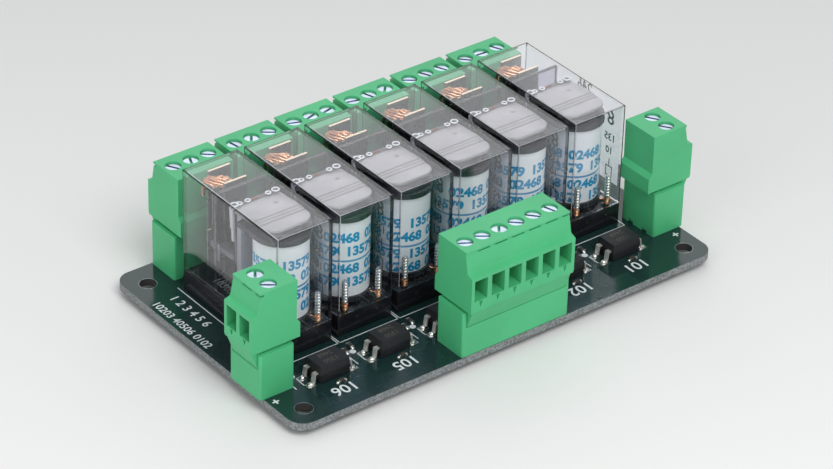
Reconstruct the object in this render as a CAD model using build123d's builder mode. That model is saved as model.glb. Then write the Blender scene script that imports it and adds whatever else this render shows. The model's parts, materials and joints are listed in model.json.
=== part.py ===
from build123d import *
import os

os.makedirs("parts", exist_ok=True)

# All lengths are in millimetres. The origin is the middle of the board on the plane that the
# pin tails stand on. X runs along the row of relays, Y towards the three-pole terminals, Z up.

# Shared clearances
fit_gap = 0.05
run_gap = 0.1

# Board
board_thickness = 1.5
board_corner = 3.2
board_end = 7.62
edge_gap = 0.075
screw_hole = 3.2
hole_inset_side = 4.125
hole_inset_front = 4.175
hole_inset_back = 5.275
pin_tail = 1.5

# Terminal headers
pitch = 3.81
header_depth = 7.25
header_height = 9.2
low_wall_drop = 3.1
header_wall = 0.8
header_floor = 1.5
header_end = 5.2
header_corner = 0.4
pin_side = 0.8
pin_drop = 1.2
pin_line = -4.2
foot_notch = 1.4
foot_notch_height = 0.7
row_front = -28.5
row_gap = 1.6
side_overhang = 0.775
side_y = -13.85
triple_shift = 0.65

# Screw plugs, measured outward from the header's outer face
plug_end = 0.45
block_out = 1.5
ledge_in = 0.35
neck_in = -0.5
lip_out = -0.3
rear_out = -8.15
bump_out = -8.8
plug_side_gap = 0.15
window_width = 2.85
arrow_width = 0.9
arrow_height = 1.2
arrow_depth = 0.35
pocket_width = 2.65
pocket_height = 0.4
pocket_depth = 0.7
screw_line = -3.5
screw_bore = 3.0
chamber_width = 3.0
chamber_depth = 3.7
socket_width = 2.0
socket_depth = 2.2

# Rise of each level of a plug above the one before it
seat_rise = 0.6
block_foot_rise = 0.3
block_height = 7.0
ledge_rise = 0.4
neck_rise = 3.7
lip_rise = 0.15
lip_height = 0.35
bump_height = 3.0
bump_slant = 1.0
plug_foot = 1.7
window_rise = 2.4
window_height = 4.25
chamber_rise = 0.1
chamber_head = 0.95

# Clamp screws and cages
screw_head = 2.8
screw_recess = 0.35
screw_foot_drop = 0.5
slot_width = 0.5
slot_depth = 0.6
cage_width = 2.8
cage_depth = 3.4
cage_drop = 1.8
cage_sheet = 0.5
tongue_sheet = 0.4

# The direction of each screw slot, in degrees from X, with the poles in the order of X or Y
slots_six = (-30, -36, 53, -42, -48, -73)
slots_left = (-36, 55)
slots_right = (-55, -57)
slots_triples = (
    (-60, 68, -40),
    (-80, 55, -36),
    (-22, 16, 14),
    (-15, -73, 48),
    (-36, -65, -66),
    (-45, -4, -65),
)

# Relays
relay_count = 6
relay_poles = 3.5
relay_gap = 1.235
relay_length = 28.8
relay_front = -10.7
relay_top = 25.5
relay_standoff = 0.3
foot_pad = 1.4
cover_foot = 4.45
cover_wall = 0.6
cover_lid = 0.5
cover_round = 0.5
base_inset = 0.1
base_top = 4.4
lug_width = 0.7
lug_height = 1.6
lug_rise = 2.35
lug_proud = 0.2
lug_places = (-1.7, 2.75)
barrier_sheet = 0.8
card_window_drop = 0.4
card_window_width = 2.6
card_window_height = 3.6
rib_height = 6.4
rib_sheet = 0.7

# Places inside a relay, as shares of its length from the front
post_share = 0.045
coil_share = 0.245
hinge_share = 0.486
barrier_share = 0.656
closed_share = 0.738
spring_share = 0.802
opened_share = 0.9115

# Drops inside a relay below the top of its cover
barrier_drop = 0.7
contact_drop = 0.9
spring_drop = 2.3
pole_drop = 2.5
lead_drop = 3.1
rivet_drop = 5.0
shoulder_drop = 10.5

# Room left inside a relay between each piece and the cover's side walls
winding_step = 0.45
armature_room = 0.65
yoke_room = 1.15
spring_room = 1.15
post_room = 1.75
contact_room = 3.1

# Coil, bobbin, core and yoke
tube_radius = 3.0
core_radius = 2.5
flange_sheet = 1.0
flange_foot = 4.9
pole_radius = 3.6
pole_sheet = 0.4
yoke_sheet = 1.2
yoke_foot_sheet = 0.9
yoke_foot = 3.95
yoke_foot_inset = 2.7
coil_pin_side = 0.7
coil_pin_top = 10.6

# Armature, drawn pulled in and stored open by the opening angle about its hinge
open_angle = 3.8
armature_sheet = 1.0
armature_inset = 3.7
armature_back = 1.9
armature_shift = 0.3
armature_nose = 2.6
crease_line = -6.2
crease_depth = 0.15
leg_width = 6.4
leg_sheet = 0.8
leg_reach = 11.0
card_sheet = 0.7
card_width = 7.0
card_foot = -11.4
card_top = -1.2
tip_x = -3.4
tip_width = 1.2
tip_height = 1.2
tip_past = 0.6
tip_level = -10.0
bead_line = 1.0
bead_rise = 0.65
bead_inner = ((-1.5, 0.6), (2.5, 0.6))
bead_left = (0.3, 0.9)
bead_right = (0.5, 0.8)
arm_width = 0.6
arm_foot = -6.0

# Contacts
contact_x = 0.35
contact_sheet = 0.5
spring_sheet = 0.3
spring_root = 5.2
rivet_radius = 1.3
rivet_proud = 0.5
closed_rivet = 0.55
opened_rivet = 0.5
contact_pin = 1.0
relay_tail = 1.0
lead_width = 1.8
lead_radius = 0.9
lead_sheet = 0.5

# Optocouplers
opto_shift = -0.6
opto_y = -18.3
opto_width = 6.5
opto_length = 4.6
opto_height = 3.4
opto_standoff = 0.15
opto_taper = 7.0
lead_pitch = 2.54
opto_span = 9.9
opto_lead_level = 2.0
opto_lead_sheet = 0.25
opto_lead_width = 0.9

# Small parts on the board
chip_length = 1.6
chip_width = 0.8
chip_height = 0.5
chip_pairs = ((-7.6, -14.9), (-5.8, -14.0))
chip_across = (-0.1, -21.7)

# Worked out: the relays follow the poles, the rows and the board follow the relays
deck = pin_tail + board_thickness
relay_pitch = relay_poles * pitch
relay_width = relay_pitch - relay_gap
relay_back = relay_front + relay_length
row_back = relay_back + row_gap - bump_out
board_front = row_front - edge_gap
board_back = row_back + edge_gap
board_length = relay_count * relay_pitch + 2 * board_end
side_face = board_length / 2 + side_overhang
hole_span_x = board_length - 2 * hole_inset_side
hole_front_y = board_front + hole_inset_front
hole_back_y = board_back - hole_inset_back

# Worked out: levels of a header and its plug above the board
header_low_wall = header_height - low_wall_drop
pin_reach = header_height - pin_drop
plug_seat = header_height + seat_rise
block_foot = plug_seat + block_foot_rise
block_top = block_foot + block_height
ledge_top = block_top + ledge_rise
neck_top = ledge_top + neck_rise
lip_foot = neck_top + lip_rise
plug_top = lip_foot + lip_height
bump_top = plug_seat + bump_height
bump_slope = bump_top + bump_slant
window_foot = plug_seat + window_rise
window_top = window_foot + window_height
chamber_foot = plug_seat + chamber_rise
chamber_top = window_top + chamber_head
screw_reach = chamber_top - screw_foot_drop
cage_height = chamber_top - chamber_foot - cage_drop - run_gap

# Worked out: places and sizes inside a relay
inner_half = relay_width / 2 - cover_wall
coil_pin_y = relay_front + post_share * relay_length
coil_y = relay_front + coil_share * relay_length
hinge_y = relay_front + hinge_share * relay_length
barrier_y = relay_front + barrier_share * relay_length
closed_y = relay_front + closed_share * relay_length
spring_y = relay_front + spring_share * relay_length
opened_y = relay_front + opened_share * relay_length
barrier_top = relay_top - barrier_drop
contact_top = relay_top - contact_drop
spring_top = relay_top - spring_drop
pole_face = relay_top - pole_drop
lead_level = relay_top - lead_drop
rivet_level = relay_top - rivet_drop
spring_shoulder = relay_top - shoulder_drop
flange_radius = inner_half - run_gap
coil_radius = flange_radius - winding_step
yoke_width = 2 * (inner_half - yoke_room)
yoke_back = hinge_y + run_gap
yoke_foot_front = relay_front + yoke_foot_inset
flange_back = yoke_back - yoke_sheet - 2 * run_gap
coil_pin_x = inner_half - post_room
armature_width = 2 * (inner_half - armature_room)
armature_front = relay_front + armature_inset - hinge_y
tip_reach = spring_y - hinge_y + tip_past
card_window_level = pole_face + tip_level - card_window_drop
contact_width = 2 * (inner_half - contact_room)
spring_low_left = spring_room - inner_half
spring_low_right = contact_x + contact_width / 2 - run_gap
lead_left = spring_low_left + 2 * run_gap
spring_high_left = lead_left + lead_width / 2


def relay_x(index):
    """Give the middle line of the relay at this place, counted from the left."""
    return (index - (relay_count - 1) / 2) * relay_pitch


def level(height, x=0.0, y=0.0):
    """Give a level plane at this height above the board."""
    return Plane((x, y, deck + height))


def side_view(x, y=0.0, height=0.0, tilt=0.0):
    """Give an upright plane across X whose first axis runs back along Y."""
    turned = Axis.X.direction
    back = Vector(0, 1, 0).rotate(Axis.X, -tilt)
    return Plane(origin=(x, y, deck + height), x_dir=back, z_dir=turned)


class Site:
    """The place of one terminal: its outer face, the way out of it and its poles."""

    def __init__(self, x, y, outward, poles):
        """Keep the middle of the outer face, the outward direction and the pole count."""
        self.poles = poles
        self.origin = Vector(x, y, deck)
        self.outward = Vector(*outward)
        self.along = self.outward.cross(Vector(0, 0, 1))
        self.header_length = (poles - 1) * pitch + header_end
        self.plug_length = poles * pitch + plug_end
        self.insert_length = self.header_length - 2 * header_wall - 2 * plug_side_gap

    def profile(self):
        """Give the end-on plane: first axis outward, second axis up."""
        return Plane(origin=self.origin, x_dir=self.outward, z_dir=self.along)

    def floor(self, height):
        """Give the level plane at a height above the board, first axis outward."""
        origin = self.origin + Vector(0, 0, height)
        return Plane(origin=origin, x_dir=self.outward, z_dir=(0, 0, 1))

    def steps(self):
        """Give each pole's distance from the middle of the row, in the order of X or Y."""
        first = -(self.poles - 1) / 2 * pitch
        order = [first + step * pitch for step in range(self.poles)]
        plane = self.floor(0)
        grows = plane.y_dir.X + plane.y_dir.Y
        return order if grows > 0 else [-place for place in order]

    def places(self, reach):
        """Give one spot for each pole on a floor plane, at a distance from the outer face."""
        return [(reach, step) for step in self.steps()]


def three_pole_sites():
    """Give the six three-pole places behind the relays, from left to right."""
    return [Site(relay_x(index) + triple_shift, row_back, (0, 1, 0), 3) for index in range(relay_count)]


site_six = Site(0, row_front, (0, -1, 0), 6)
site_left = Site(-side_face, side_y, (-1, 0, 0), 2)
site_right = Site(side_face, side_y, (1, 0, 0), 2)
sites_triple = three_pole_sites()
all_sites = [site_six, site_left, site_right] + sites_triple
all_slots = [slots_six, slots_left, slots_right] + list(slots_triples)
relay_lines = [relay_x(index) for index in range(relay_count)]


def save(part, name):
    """Name one finished sub-part and write it out."""
    part.label = name
    export_step(part, "parts/" + name + ".step")


def relay_pins():
    """Give the spots on the board where the pins of all relays pass through."""
    spots = []
    for x in relay_lines:
        spots.append((x - coil_pin_x, coil_pin_y))
        spots.append((x + coil_pin_x, coil_pin_y))
        for y in (closed_y + contact_sheet / 2, opened_y + contact_sheet / 2, spring_y + spring_sheet / 2):
            spots.append((x + contact_x, y))
    return spots


# Board with its corner holes and the holes of all pins


def make_board():
    """Build the bare board."""
    pin_hole = pin_side + 2 * run_gap
    relay_hole = contact_pin + 2 * run_gap
    with BuildPart() as board:
        with BuildSketch(level(-board_thickness)):
            with Locations((0, (board_front + board_back) / 2)):
                RectangleRounded(board_length, board_back - board_front, board_corner)
            middle_y = (hole_front_y + hole_back_y) / 2
            with Locations((0, middle_y)):
                with GridLocations(hole_span_x, hole_back_y - hole_front_y, 2, 2):
                    Circle(screw_hole / 2, mode=Mode.SUBTRACT)
            with Locations(*relay_pins()):
                Rectangle(relay_hole, relay_hole, mode=Mode.SUBTRACT)
        extrude(amount=board_thickness)
        for site in all_sites:
            with BuildSketch(site.floor(-board_thickness)):
                with Locations(*site.places(pin_line)):
                    Rectangle(pin_hole, pin_hole)
            extrude(amount=board_thickness, mode=Mode.SUBTRACT)
    return board.part


# Headers soldered to the board, and their pins


def make_header(site):
    """Build one open-topped header with a low wall on the wire side."""
    inner_length = site.header_length - 2 * header_wall
    inner_depth = header_depth - 2 * header_wall
    with BuildPart() as header:
        with BuildSketch(site.floor(0)):
            with Locations((-header_depth / 2, 0)):
                Rectangle(header_depth, site.header_length)
        extrude(amount=header_height)
        upright = header.edges().filter_by(Axis.Z)
        fillet(upright, header_corner)
        with BuildSketch(site.floor(header_floor)):
            with Locations((-header_depth / 2, 0)):
                Rectangle(inner_depth, inner_length)
        extrude(amount=header_height, mode=Mode.SUBTRACT)
        with BuildSketch(site.floor(header_low_wall)):
            Rectangle(header_wall * 3, inner_length)
        extrude(amount=header_height, mode=Mode.SUBTRACT)
        with BuildSketch(site.floor(0)):
            with Locations(*site.places(pin_line)):
                Rectangle(pin_side + 2 * fit_gap, pin_side + 2 * fit_gap)
        extrude(amount=header_floor, mode=Mode.SUBTRACT)
        with BuildSketch(site.floor(0)):
            with Locations(*site.places(-header_depth)):
                Rectangle(header_wall, foot_notch)
        extrude(amount=foot_notch_height, mode=Mode.SUBTRACT)
    return header.part


def make_header_pins():
    """Build the straight square pins of all headers, with the tails the module stands on."""
    with BuildPart() as pins:
        for site in all_sites:
            with BuildSketch(site.floor(-deck)):
                with Locations(*site.places(pin_line)):
                    Rectangle(pin_side, pin_side)
            extrude(amount=deck + pin_reach)
    return pins.part


# Screw plugs


def plug_outline():
    """Draw the plug above its header: wire block, ledge, leaning neck, lip, rear bump."""
    return [
        (block_out - run_gap, plug_seat),
        (block_out - run_gap, block_foot),
        (block_out, block_foot + run_gap),
        (block_out, block_top),
        (ledge_in, ledge_top),
        (ledge_in / 2, ledge_top + ledge_in),
        (neck_in, neck_top),
        (lip_out, lip_foot),
        (lip_out, plug_top),
        (rear_out, plug_top),
        (rear_out + run_gap, bump_slope),
        (bump_out, bump_top),
        (bump_out, plug_seat),
    ]


def insert_outline():
    """Draw the part of the plug that goes down into the header and over its low wall."""
    inner_front = -header_wall - plug_side_gap
    inner_back = header_wall + plug_side_gap - header_depth
    skirt_foot = header_low_wall + fit_gap
    return [
        (inner_back, plug_foot),
        (inner_front, plug_foot),
        (inner_front, skirt_foot),
        (-run_gap, skirt_foot),
        (block_out - run_gap, block_foot),
        (block_out - run_gap, chamber_foot + arrow_height),
        (inner_back, chamber_foot + arrow_height),
    ]


def arrow_faces(site):
    """Give the upright planes of the arrow notches, one below each wire entry."""
    foot = site.floor(window_foot - 2 * run_gap)
    centres = [foot.from_local_coords((*place, 0)) for place in site.places(block_out)]
    return [Plane(origin=centre, x_dir=foot.y_dir, z_dir=site.outward) for centre in centres]


def lip_pockets(site):
    """Give the spots of the shallow pockets under the lip, one to the right of each pole."""
    return [(neck_in, step + pitch / 2) for step in site.steps()]


def make_plug(site):
    """Build one screw plug with its wire entries, screw holes and clamp chambers."""
    with BuildPart() as plug:
        with BuildSketch(site.profile()):
            Polygon(*plug_outline(), align=None)
        extrude(amount=site.plug_length / 2, both=True)
        with BuildSketch(site.profile()):
            Polygon(*insert_outline(), align=None)
        extrude(amount=site.insert_length / 2, both=True)
        with BuildSketch(site.floor(plug_foot)):
            with Locations(*site.places(pin_line)):
                Rectangle(socket_depth, socket_width)
        extrude(amount=chamber_foot - plug_foot, mode=Mode.SUBTRACT)
        with BuildSketch(site.floor(chamber_foot)):
            with Locations(*site.places(screw_line)):
                Rectangle(chamber_depth, chamber_width)
        extrude(amount=chamber_top - chamber_foot, mode=Mode.SUBTRACT)
        window_reach = block_out - screw_line
        with BuildSketch(site.floor(window_foot)):
            with Locations(*site.places(screw_line + window_reach / 2)):
                Rectangle(window_reach, window_width)
        extrude(amount=window_top - window_foot, mode=Mode.SUBTRACT)
        with BuildSketch(site.floor(plug_top)):
            with Locations(*site.places(screw_line)):
                Circle(screw_bore / 2)
        extrude(amount=chamber_top - plug_top, mode=Mode.SUBTRACT)
        with BuildSketch(*arrow_faces(site)):
            Polygon((-arrow_width / 2, 0), (0, -arrow_height), (arrow_width / 2, 0), align=None)
        extrude(amount=-arrow_depth, mode=Mode.SUBTRACT)
        with BuildSketch(site.floor(lip_foot - pocket_height)):
            with Locations(*lip_pockets(site)):
                Rectangle(2 * pocket_depth, pocket_width)
        extrude(amount=pocket_height, mode=Mode.SUBTRACT)
    return plug.part


def make_screws():
    """Build the slotted clamp screws of all plugs."""
    with BuildPart() as screws:
        for site, slots in zip(all_sites, all_slots):
            for place, turn in zip(site.places(screw_line), slots):
                centre = site.floor(screw_reach).from_local_coords((*place, 0))
                foot = Plane(centre)
                head_top = deck + plug_top - screw_recess - centre.Z
                with BuildSketch(foot):
                    Circle(screw_head / 2)
                extrude(amount=head_top)
                with BuildSketch(foot.offset(head_top)):
                    Rectangle(2 * screw_head, slot_width, rotation=turn)
                extrude(amount=-slot_depth, mode=Mode.SUBTRACT)
    return screws.part


def make_clamps():
    """Build each pole's clamp: an open cage with a spring tongue beside the pin."""
    cage_foot = chamber_foot + run_gap
    tongue_line = pin_line - pin_side / 2 - tongue_sheet / 2 - fit_gap
    with BuildPart() as clamps:
        for site in all_sites:
            with BuildSketch(site.floor(cage_foot)):
                with Locations(*site.places(screw_line)):
                    Rectangle(cage_depth, cage_width)
            extrude(amount=cage_height)
            with BuildSketch(site.floor(cage_foot + cage_sheet)):
                with Locations(*site.places(screw_line)):
                    Rectangle(cage_depth, cage_width - 2 * cage_sheet)
            extrude(amount=cage_height - 2 * cage_sheet, mode=Mode.SUBTRACT)
            with BuildSketch(site.floor(plug_foot + run_gap)):
                with Locations(*site.places(tongue_line)):
                    Rectangle(tongue_sheet, pin_side)
            extrude(amount=cage_foot - plug_foot)
    return clamps.part


# Relay covers and bases


def relay_middle_y():
    """Give the middle of a relay along Y."""
    return relay_front + relay_length / 2


def make_cover(x):
    """Build one clear cover: a thin box with rounded edges, open below."""
    with BuildPart() as cover:
        with BuildSketch(level(cover_foot, x, relay_middle_y())):
            Rectangle(relay_width, relay_length)
        extrude(amount=relay_top - cover_foot)
        upright = cover.edges().filter_by(Axis.Z)
        rim = cover.faces().sort_by(Axis.Z)[-1].edges()
        fillet(upright + rim, cover_round)
        with BuildSketch(level(cover_foot, x, relay_middle_y())):
            Rectangle(relay_width - 2 * cover_wall, relay_length - 2 * cover_wall)
        extrude(amount=relay_top - cover_lid - cover_foot, mode=Mode.SUBTRACT)
    return cover.part


def make_base(x):
    """Build one relay base with its barrier, card window, rear ribs, lugs and feet."""
    width = relay_width - 2 * base_inset
    length = relay_length - 2 * base_inset
    inner_width = relay_width - 2 * cover_wall - 2 * fit_gap
    with BuildPart() as base:
        with BuildSketch(level(relay_standoff, x, relay_middle_y())):
            Rectangle(width, length)
        extrude(amount=base_top - relay_standoff)
        with BuildSketch(level(0, x, relay_middle_y())):
            with GridLocations(width - foot_pad, length - foot_pad, 2, 2):
                Rectangle(foot_pad, foot_pad)
        extrude(amount=relay_standoff)
        with BuildSketch(level(base_top, x, barrier_y + barrier_sheet / 2)):
            Rectangle(inner_width, barrier_sheet)
        extrude(amount=barrier_top - base_top)
        window_foot_level = card_window_level - card_window_height / 2
        with BuildSketch(level(window_foot_level, x + tip_x, barrier_y)):
            Rectangle(card_window_width, 4 * barrier_sheet)
        extrude(amount=card_window_height, mode=Mode.SUBTRACT)
        rib_line = (opened_y + spring_y + spring_sheet) / 2
        with BuildSketch(level(base_top, x, rib_line)):
            Rectangle(inner_width, rib_sheet)
        extrude(amount=rib_height - base_top)
        pocket_y = (yoke_foot_front + yoke_back) / 2
        with BuildSketch(level(yoke_foot - fit_gap, x, pocket_y)):
            Rectangle(yoke_width + 2 * run_gap, yoke_back - yoke_foot_front + 2 * run_gap)
        extrude(amount=base_top, mode=Mode.SUBTRACT)
        plates = [closed_y + contact_sheet / 2, opened_y + contact_sheet / 2]
        plates.append(spring_y + spring_sheet / 2)
        with BuildSketch(level(0, x)):
            with Locations(*[(contact_x, y) for y in plates]):
                Rectangle(contact_width + 2 * fit_gap, contact_sheet + 2 * fit_gap)
            with Locations((-coil_pin_x, coil_pin_y), (coil_pin_x, coil_pin_y)):
                Rectangle(coil_pin_side + 2 * fit_gap, coil_pin_side + 2 * fit_gap)
        extrude(amount=base_top, mode=Mode.SUBTRACT)
        front = Plane(
            origin=(x, relay_front + base_inset, deck + lug_rise), x_dir=(1, 0, 0), z_dir=(0, -1, 0)
        )
        with BuildSketch(front):
            with Locations(*[(place, 0) for place in lug_places]):
                SlotOverall(lug_height, lug_width, rotation=90)
        extrude(amount=lug_proud)
    return base.part


# Magnet of each relay: winding, bobbin, core with yoke, pins


def make_winding(x):
    """Build one taped winding around its bobbin tube."""
    with BuildPart() as winding:
        foot = flange_foot + flange_sheet + fit_gap
        with BuildSketch(level(foot, x, coil_y)):
            Circle(coil_radius)
            Circle(tube_radius + fit_gap, mode=Mode.SUBTRACT)
        extrude(amount=pole_face - pole_sheet - 2 * flange_sheet - flange_foot - 2 * fit_gap)
    return winding.part


def flange_shape():
    """Draw the bobbin flanges: round in front, straight-sided behind."""
    for x in relay_lines:
        with Locations((x, coil_y)):
            Circle(flange_radius)
        with Locations((x, (coil_y + flange_back) / 2)):
            Rectangle(2 * flange_radius, flange_back - coil_y)


def make_bobbins():
    """Build the six bobbins, each a tube between two flanges."""
    top_flange = pole_face - pole_sheet - flange_sheet
    cores = [(x, coil_y) for x in relay_lines]
    with BuildPart() as bobbins:
        with BuildSketch(level(flange_foot)):
            flange_shape()
        extrude(amount=flange_sheet)
        with BuildSketch(level(flange_foot)):
            with Locations(*cores):
                Circle(tube_radius)
        extrude(amount=top_flange - flange_foot)
        with BuildSketch(level(top_flange)):
            flange_shape()
        extrude(amount=flange_sheet)
        with BuildSketch(level(flange_foot)):
            with Locations(*cores):
                Circle(core_radius + fit_gap)
        extrude(amount=pole_face, mode=Mode.SUBTRACT)
    return bobbins.part


def make_yokes():
    """Build the six yokes, each an angle of sheet steel with the core riveted in its foot."""
    cores = [(x, coil_y) for x in relay_lines]
    foot_length = yoke_back - yoke_foot_front
    with BuildPart() as yokes:
        with BuildSketch(level(yoke_foot)):
            with Locations(*[(x, yoke_back - foot_length / 2) for x in relay_lines]):
                Rectangle(yoke_width, foot_length)
        extrude(amount=yoke_foot_sheet)
        with BuildSketch(level(yoke_foot)):
            with Locations(*[(x, yoke_back - yoke_sheet / 2) for x in relay_lines]):
                Rectangle(yoke_width, yoke_sheet)
        extrude(amount=pole_face - fit_gap - yoke_foot)
        with BuildSketch(level(yoke_foot)):
            with Locations(*cores):
                Circle(core_radius)
        extrude(amount=pole_face - yoke_foot)
        with BuildSketch(level(pole_face - pole_sheet)):
            with Locations(*cores):
                Circle(pole_radius)
        extrude(amount=pole_sheet)
    return yokes.part


def make_coil_pins():
    """Build the two posts of each coil, from the winding's front foot to below the board."""
    with BuildPart() as pins:
        foot = -board_thickness - relay_tail
        with BuildSketch(level(foot)):
            for x in relay_lines:
                with Locations((x - coil_pin_x, coil_pin_y), (x + coil_pin_x, coil_pin_y)):
                    Rectangle(coil_pin_side, coil_pin_side)
        extrude(amount=coil_pin_top - foot)
    return pins.part


# Moving parts of each relay


def bead_row():
    """Give the place across the plate and the radius of each bead that holds the armature."""
    left = armature_shift - armature_width / 2
    right = armature_shift + armature_width / 2
    outer_left = (left + bead_left[0], bead_left[1])
    outer_right = (right - bead_right[0], bead_right[1])
    return [outer_left, *bead_inner, outer_right]


def make_armature(x):
    """Build one armature with its moulded card, tilted open about its hinge."""
    hinge = side_view(x, hinge_y, pole_face, open_angle)
    plate_plane = Plane(origin=hinge.origin, x_dir=(1, 0, 0), z_dir=hinge.y_dir)
    plate_length = armature_back - armature_front
    plate_middle = (armature_back + armature_front) / 2
    card_back = armature_back + card_sheet
    with BuildPart() as armature:
        with BuildSketch(plate_plane) as plate:
            with Locations((armature_shift, plate_middle)):
                Rectangle(armature_width, plate_length)
            fillet(plate.vertices().group_by(Axis.Y)[0], armature_nose)
        extrude(amount=armature_sheet)
        with BuildSketch(plate_plane.offset(armature_sheet)):
            with Locations((armature_shift, crease_line + armature_front / 2)):
                Rectangle(2 * armature_width, -armature_front)
        extrude(amount=-crease_depth, mode=Mode.SUBTRACT)
        with BuildSketch(hinge):
            with Locations((armature_back - leg_sheet / 2, -leg_reach / 2)):
                Rectangle(leg_sheet, leg_reach)
        extrude(amount=leg_width / 2, both=True)
        with BuildSketch(hinge):
            with Locations((armature_back + card_sheet / 2, (card_foot + card_top) / 2)):
                Rectangle(card_sheet, card_top - card_foot)
        extrude(amount=card_width / 2, both=True)
        tip_plane = hinge.offset(tip_x)
        with BuildSketch(tip_plane):
            with Locations(((card_back + tip_reach) / 2, tip_level)):
                Rectangle(tip_reach - card_back, tip_height)
        extrude(amount=tip_width / 2, both=True)
        with BuildSketch(plate_plane.offset(armature_sheet)):
            for place, radius in bead_row():
                with Locations((place, bead_line)):
                    Circle(radius)
        extrude(amount=bead_rise)
        arm_plane = hinge.offset(armature_shift - armature_width / 2)
        with BuildSketch(arm_plane):
            with Locations((armature_back - arm_width / 2, (armature_sheet + arm_foot) / 2)):
                Rectangle(arm_width, armature_sheet - arm_foot)
        extrude(amount=-arm_width / 2, both=True)
    return armature.part


def make_contact_spring(x):
    """Build one moving contact: blade, two-faced rivet and the folded copper lead."""
    blade = Plane(origin=(x, spring_y, deck), x_dir=(1, 0, 0), z_dir=(0, 1, 0))
    right = contact_x + contact_width / 2
    rivet_thickness = spring_sheet + 2 * rivet_proud
    with BuildPart() as spring:
        with BuildSketch(blade):
            Polygon(
                (spring_low_left, -spring_root),
                (spring_low_right, -spring_root),
                (spring_low_right, -spring_shoulder),
                (right, -spring_shoulder - run_gap),
                (right, -spring_top),
                (spring_high_left, -spring_top),
                (spring_high_left, -spring_shoulder - run_gap),
                (spring_low_left, -spring_shoulder),
                align=None,
            )
        extrude(amount=spring_sheet)
        with BuildSketch(blade.offset(-rivet_proud)):
            with Locations((contact_x, -rivet_level)):
                Circle(rivet_radius)
        extrude(amount=rivet_thickness)
        lead_middle = lead_left + lead_width / 2
        bend_y = spring_y + lead_radius
        with BuildSketch(side_view(x + lead_middle, bend_y, lead_level)):
            Circle(lead_radius)
            Circle(lead_radius - lead_sheet, mode=Mode.SUBTRACT)
            with Locations((0, -lead_radius)):
                Rectangle(2 * lead_radius, 2 * lead_radius, mode=Mode.SUBTRACT)
            with Locations((-lead_radius + lead_sheet / 2, -lead_radius)):
                Rectangle(lead_sheet, 2 * lead_radius)
            with Locations((lead_radius - lead_sheet / 2, -lead_radius)):
                Rectangle(lead_sheet, 2 * lead_radius)
        extrude(amount=lead_width / 2, both=True)
    return spring.part


def make_fixed_contacts(front_y, rivet_length, faces_back):
    """Build six upright contact plates with their rivets and board pins."""
    rivet_face = front_y + contact_sheet if faces_back else front_y - rivet_length
    centres = [(x + contact_x, front_y + contact_sheet / 2) for x in relay_lines]
    tail = board_thickness + relay_tail
    with BuildPart() as plates:
        with BuildSketch(level(relay_standoff)):
            with Locations(*centres):
                Rectangle(contact_width, contact_sheet)
        extrude(amount=contact_top - relay_standoff)
        with BuildSketch(level(-tail)):
            with Locations(*centres):
                Rectangle(contact_pin, contact_sheet)
        extrude(amount=tail + relay_standoff)
        wall = Plane(origin=(0, rivet_face, deck + rivet_level), x_dir=(1, 0, 0), z_dir=(0, 1, 0))
        with BuildSketch(wall):
            with Locations(*[(x + contact_x, 0) for x in relay_lines]):
                Circle(rivet_radius)
        extrude(amount=rivet_length)
    return plates.part


def make_common_terminals():
    """Build the six common terminals that the moving contacts stand over."""
    centres = [(x + contact_x, spring_y + spring_sheet / 2) for x in relay_lines]
    tail = board_thickness + relay_tail
    with BuildPart() as terminals:
        with BuildSketch(level(relay_standoff)):
            with Locations(*centres):
                Rectangle(contact_width, contact_sheet)
        extrude(amount=spring_root - 2 * run_gap - relay_standoff)
        with BuildSketch(level(-tail)):
            with Locations(*centres):
                Rectangle(contact_pin, contact_sheet)
        extrude(amount=tail + relay_standoff)
    return terminals.part


# Optocouplers and small chip parts


def opto_lead_outline(side):
    """Draw one gull-wing lead, going out of the body and down to the board."""
    inner = side * (opto_width / 2 - opto_lead_sheet)
    knee = side * (opto_width / 2 + 0.5)
    outer_knee = knee + side * opto_lead_sheet
    toe = side * opto_span / 2
    top = opto_lead_level + opto_lead_sheet
    return [
        (inner, opto_lead_level),
        (inner, top),
        (outer_knee, top),
        (outer_knee + side * opto_lead_sheet, opto_lead_sheet),
        (toe, opto_lead_sheet),
        (toe, 0),
        (knee + side * opto_lead_sheet, 0),
        (knee, opto_lead_level),
    ]


def make_optocouplers():
    """Build the six four-lead optocouplers in front of the relays."""
    bodies = [(x + opto_shift, opto_y) for x in relay_lines]
    lower = opto_lead_level - opto_standoff
    upper = opto_standoff + opto_height - opto_lead_level
    with BuildPart() as optos:
        with BuildSketch(level(opto_lead_level)):
            with Locations(*bodies):
                Rectangle(opto_width, opto_length)
        extrude(amount=upper, taper=opto_taper)
        with BuildSketch(level(opto_lead_level)):
            with Locations(*bodies):
                Rectangle(opto_width, opto_length)
        extrude(amount=-lower, taper=opto_taper)
        for x in relay_lines:
            for row in (-lead_pitch / 2, lead_pitch / 2):
                across = Plane(
                    origin=(x + opto_shift, opto_y + row, deck), x_dir=(1, 0, 0), z_dir=(0, -1, 0)
                )
                with BuildSketch(across):
                    Polygon(*opto_lead_outline(-1), align=None)
                    Polygon(*opto_lead_outline(1), align=None)
                extrude(amount=opto_lead_width / 2, both=True)
    return optos.part


def chip_clear(x, y):
    """Tell whether a chip part at this spot stands clear of the headers."""
    side_limit = side_face - header_depth - chip_width
    six_half = site_six.header_length / 2 + chip_length
    row_limit = row_front + header_depth + chip_width
    under_six = abs(x) < six_half and y < row_limit
    return abs(x) < side_limit and not under_six


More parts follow.
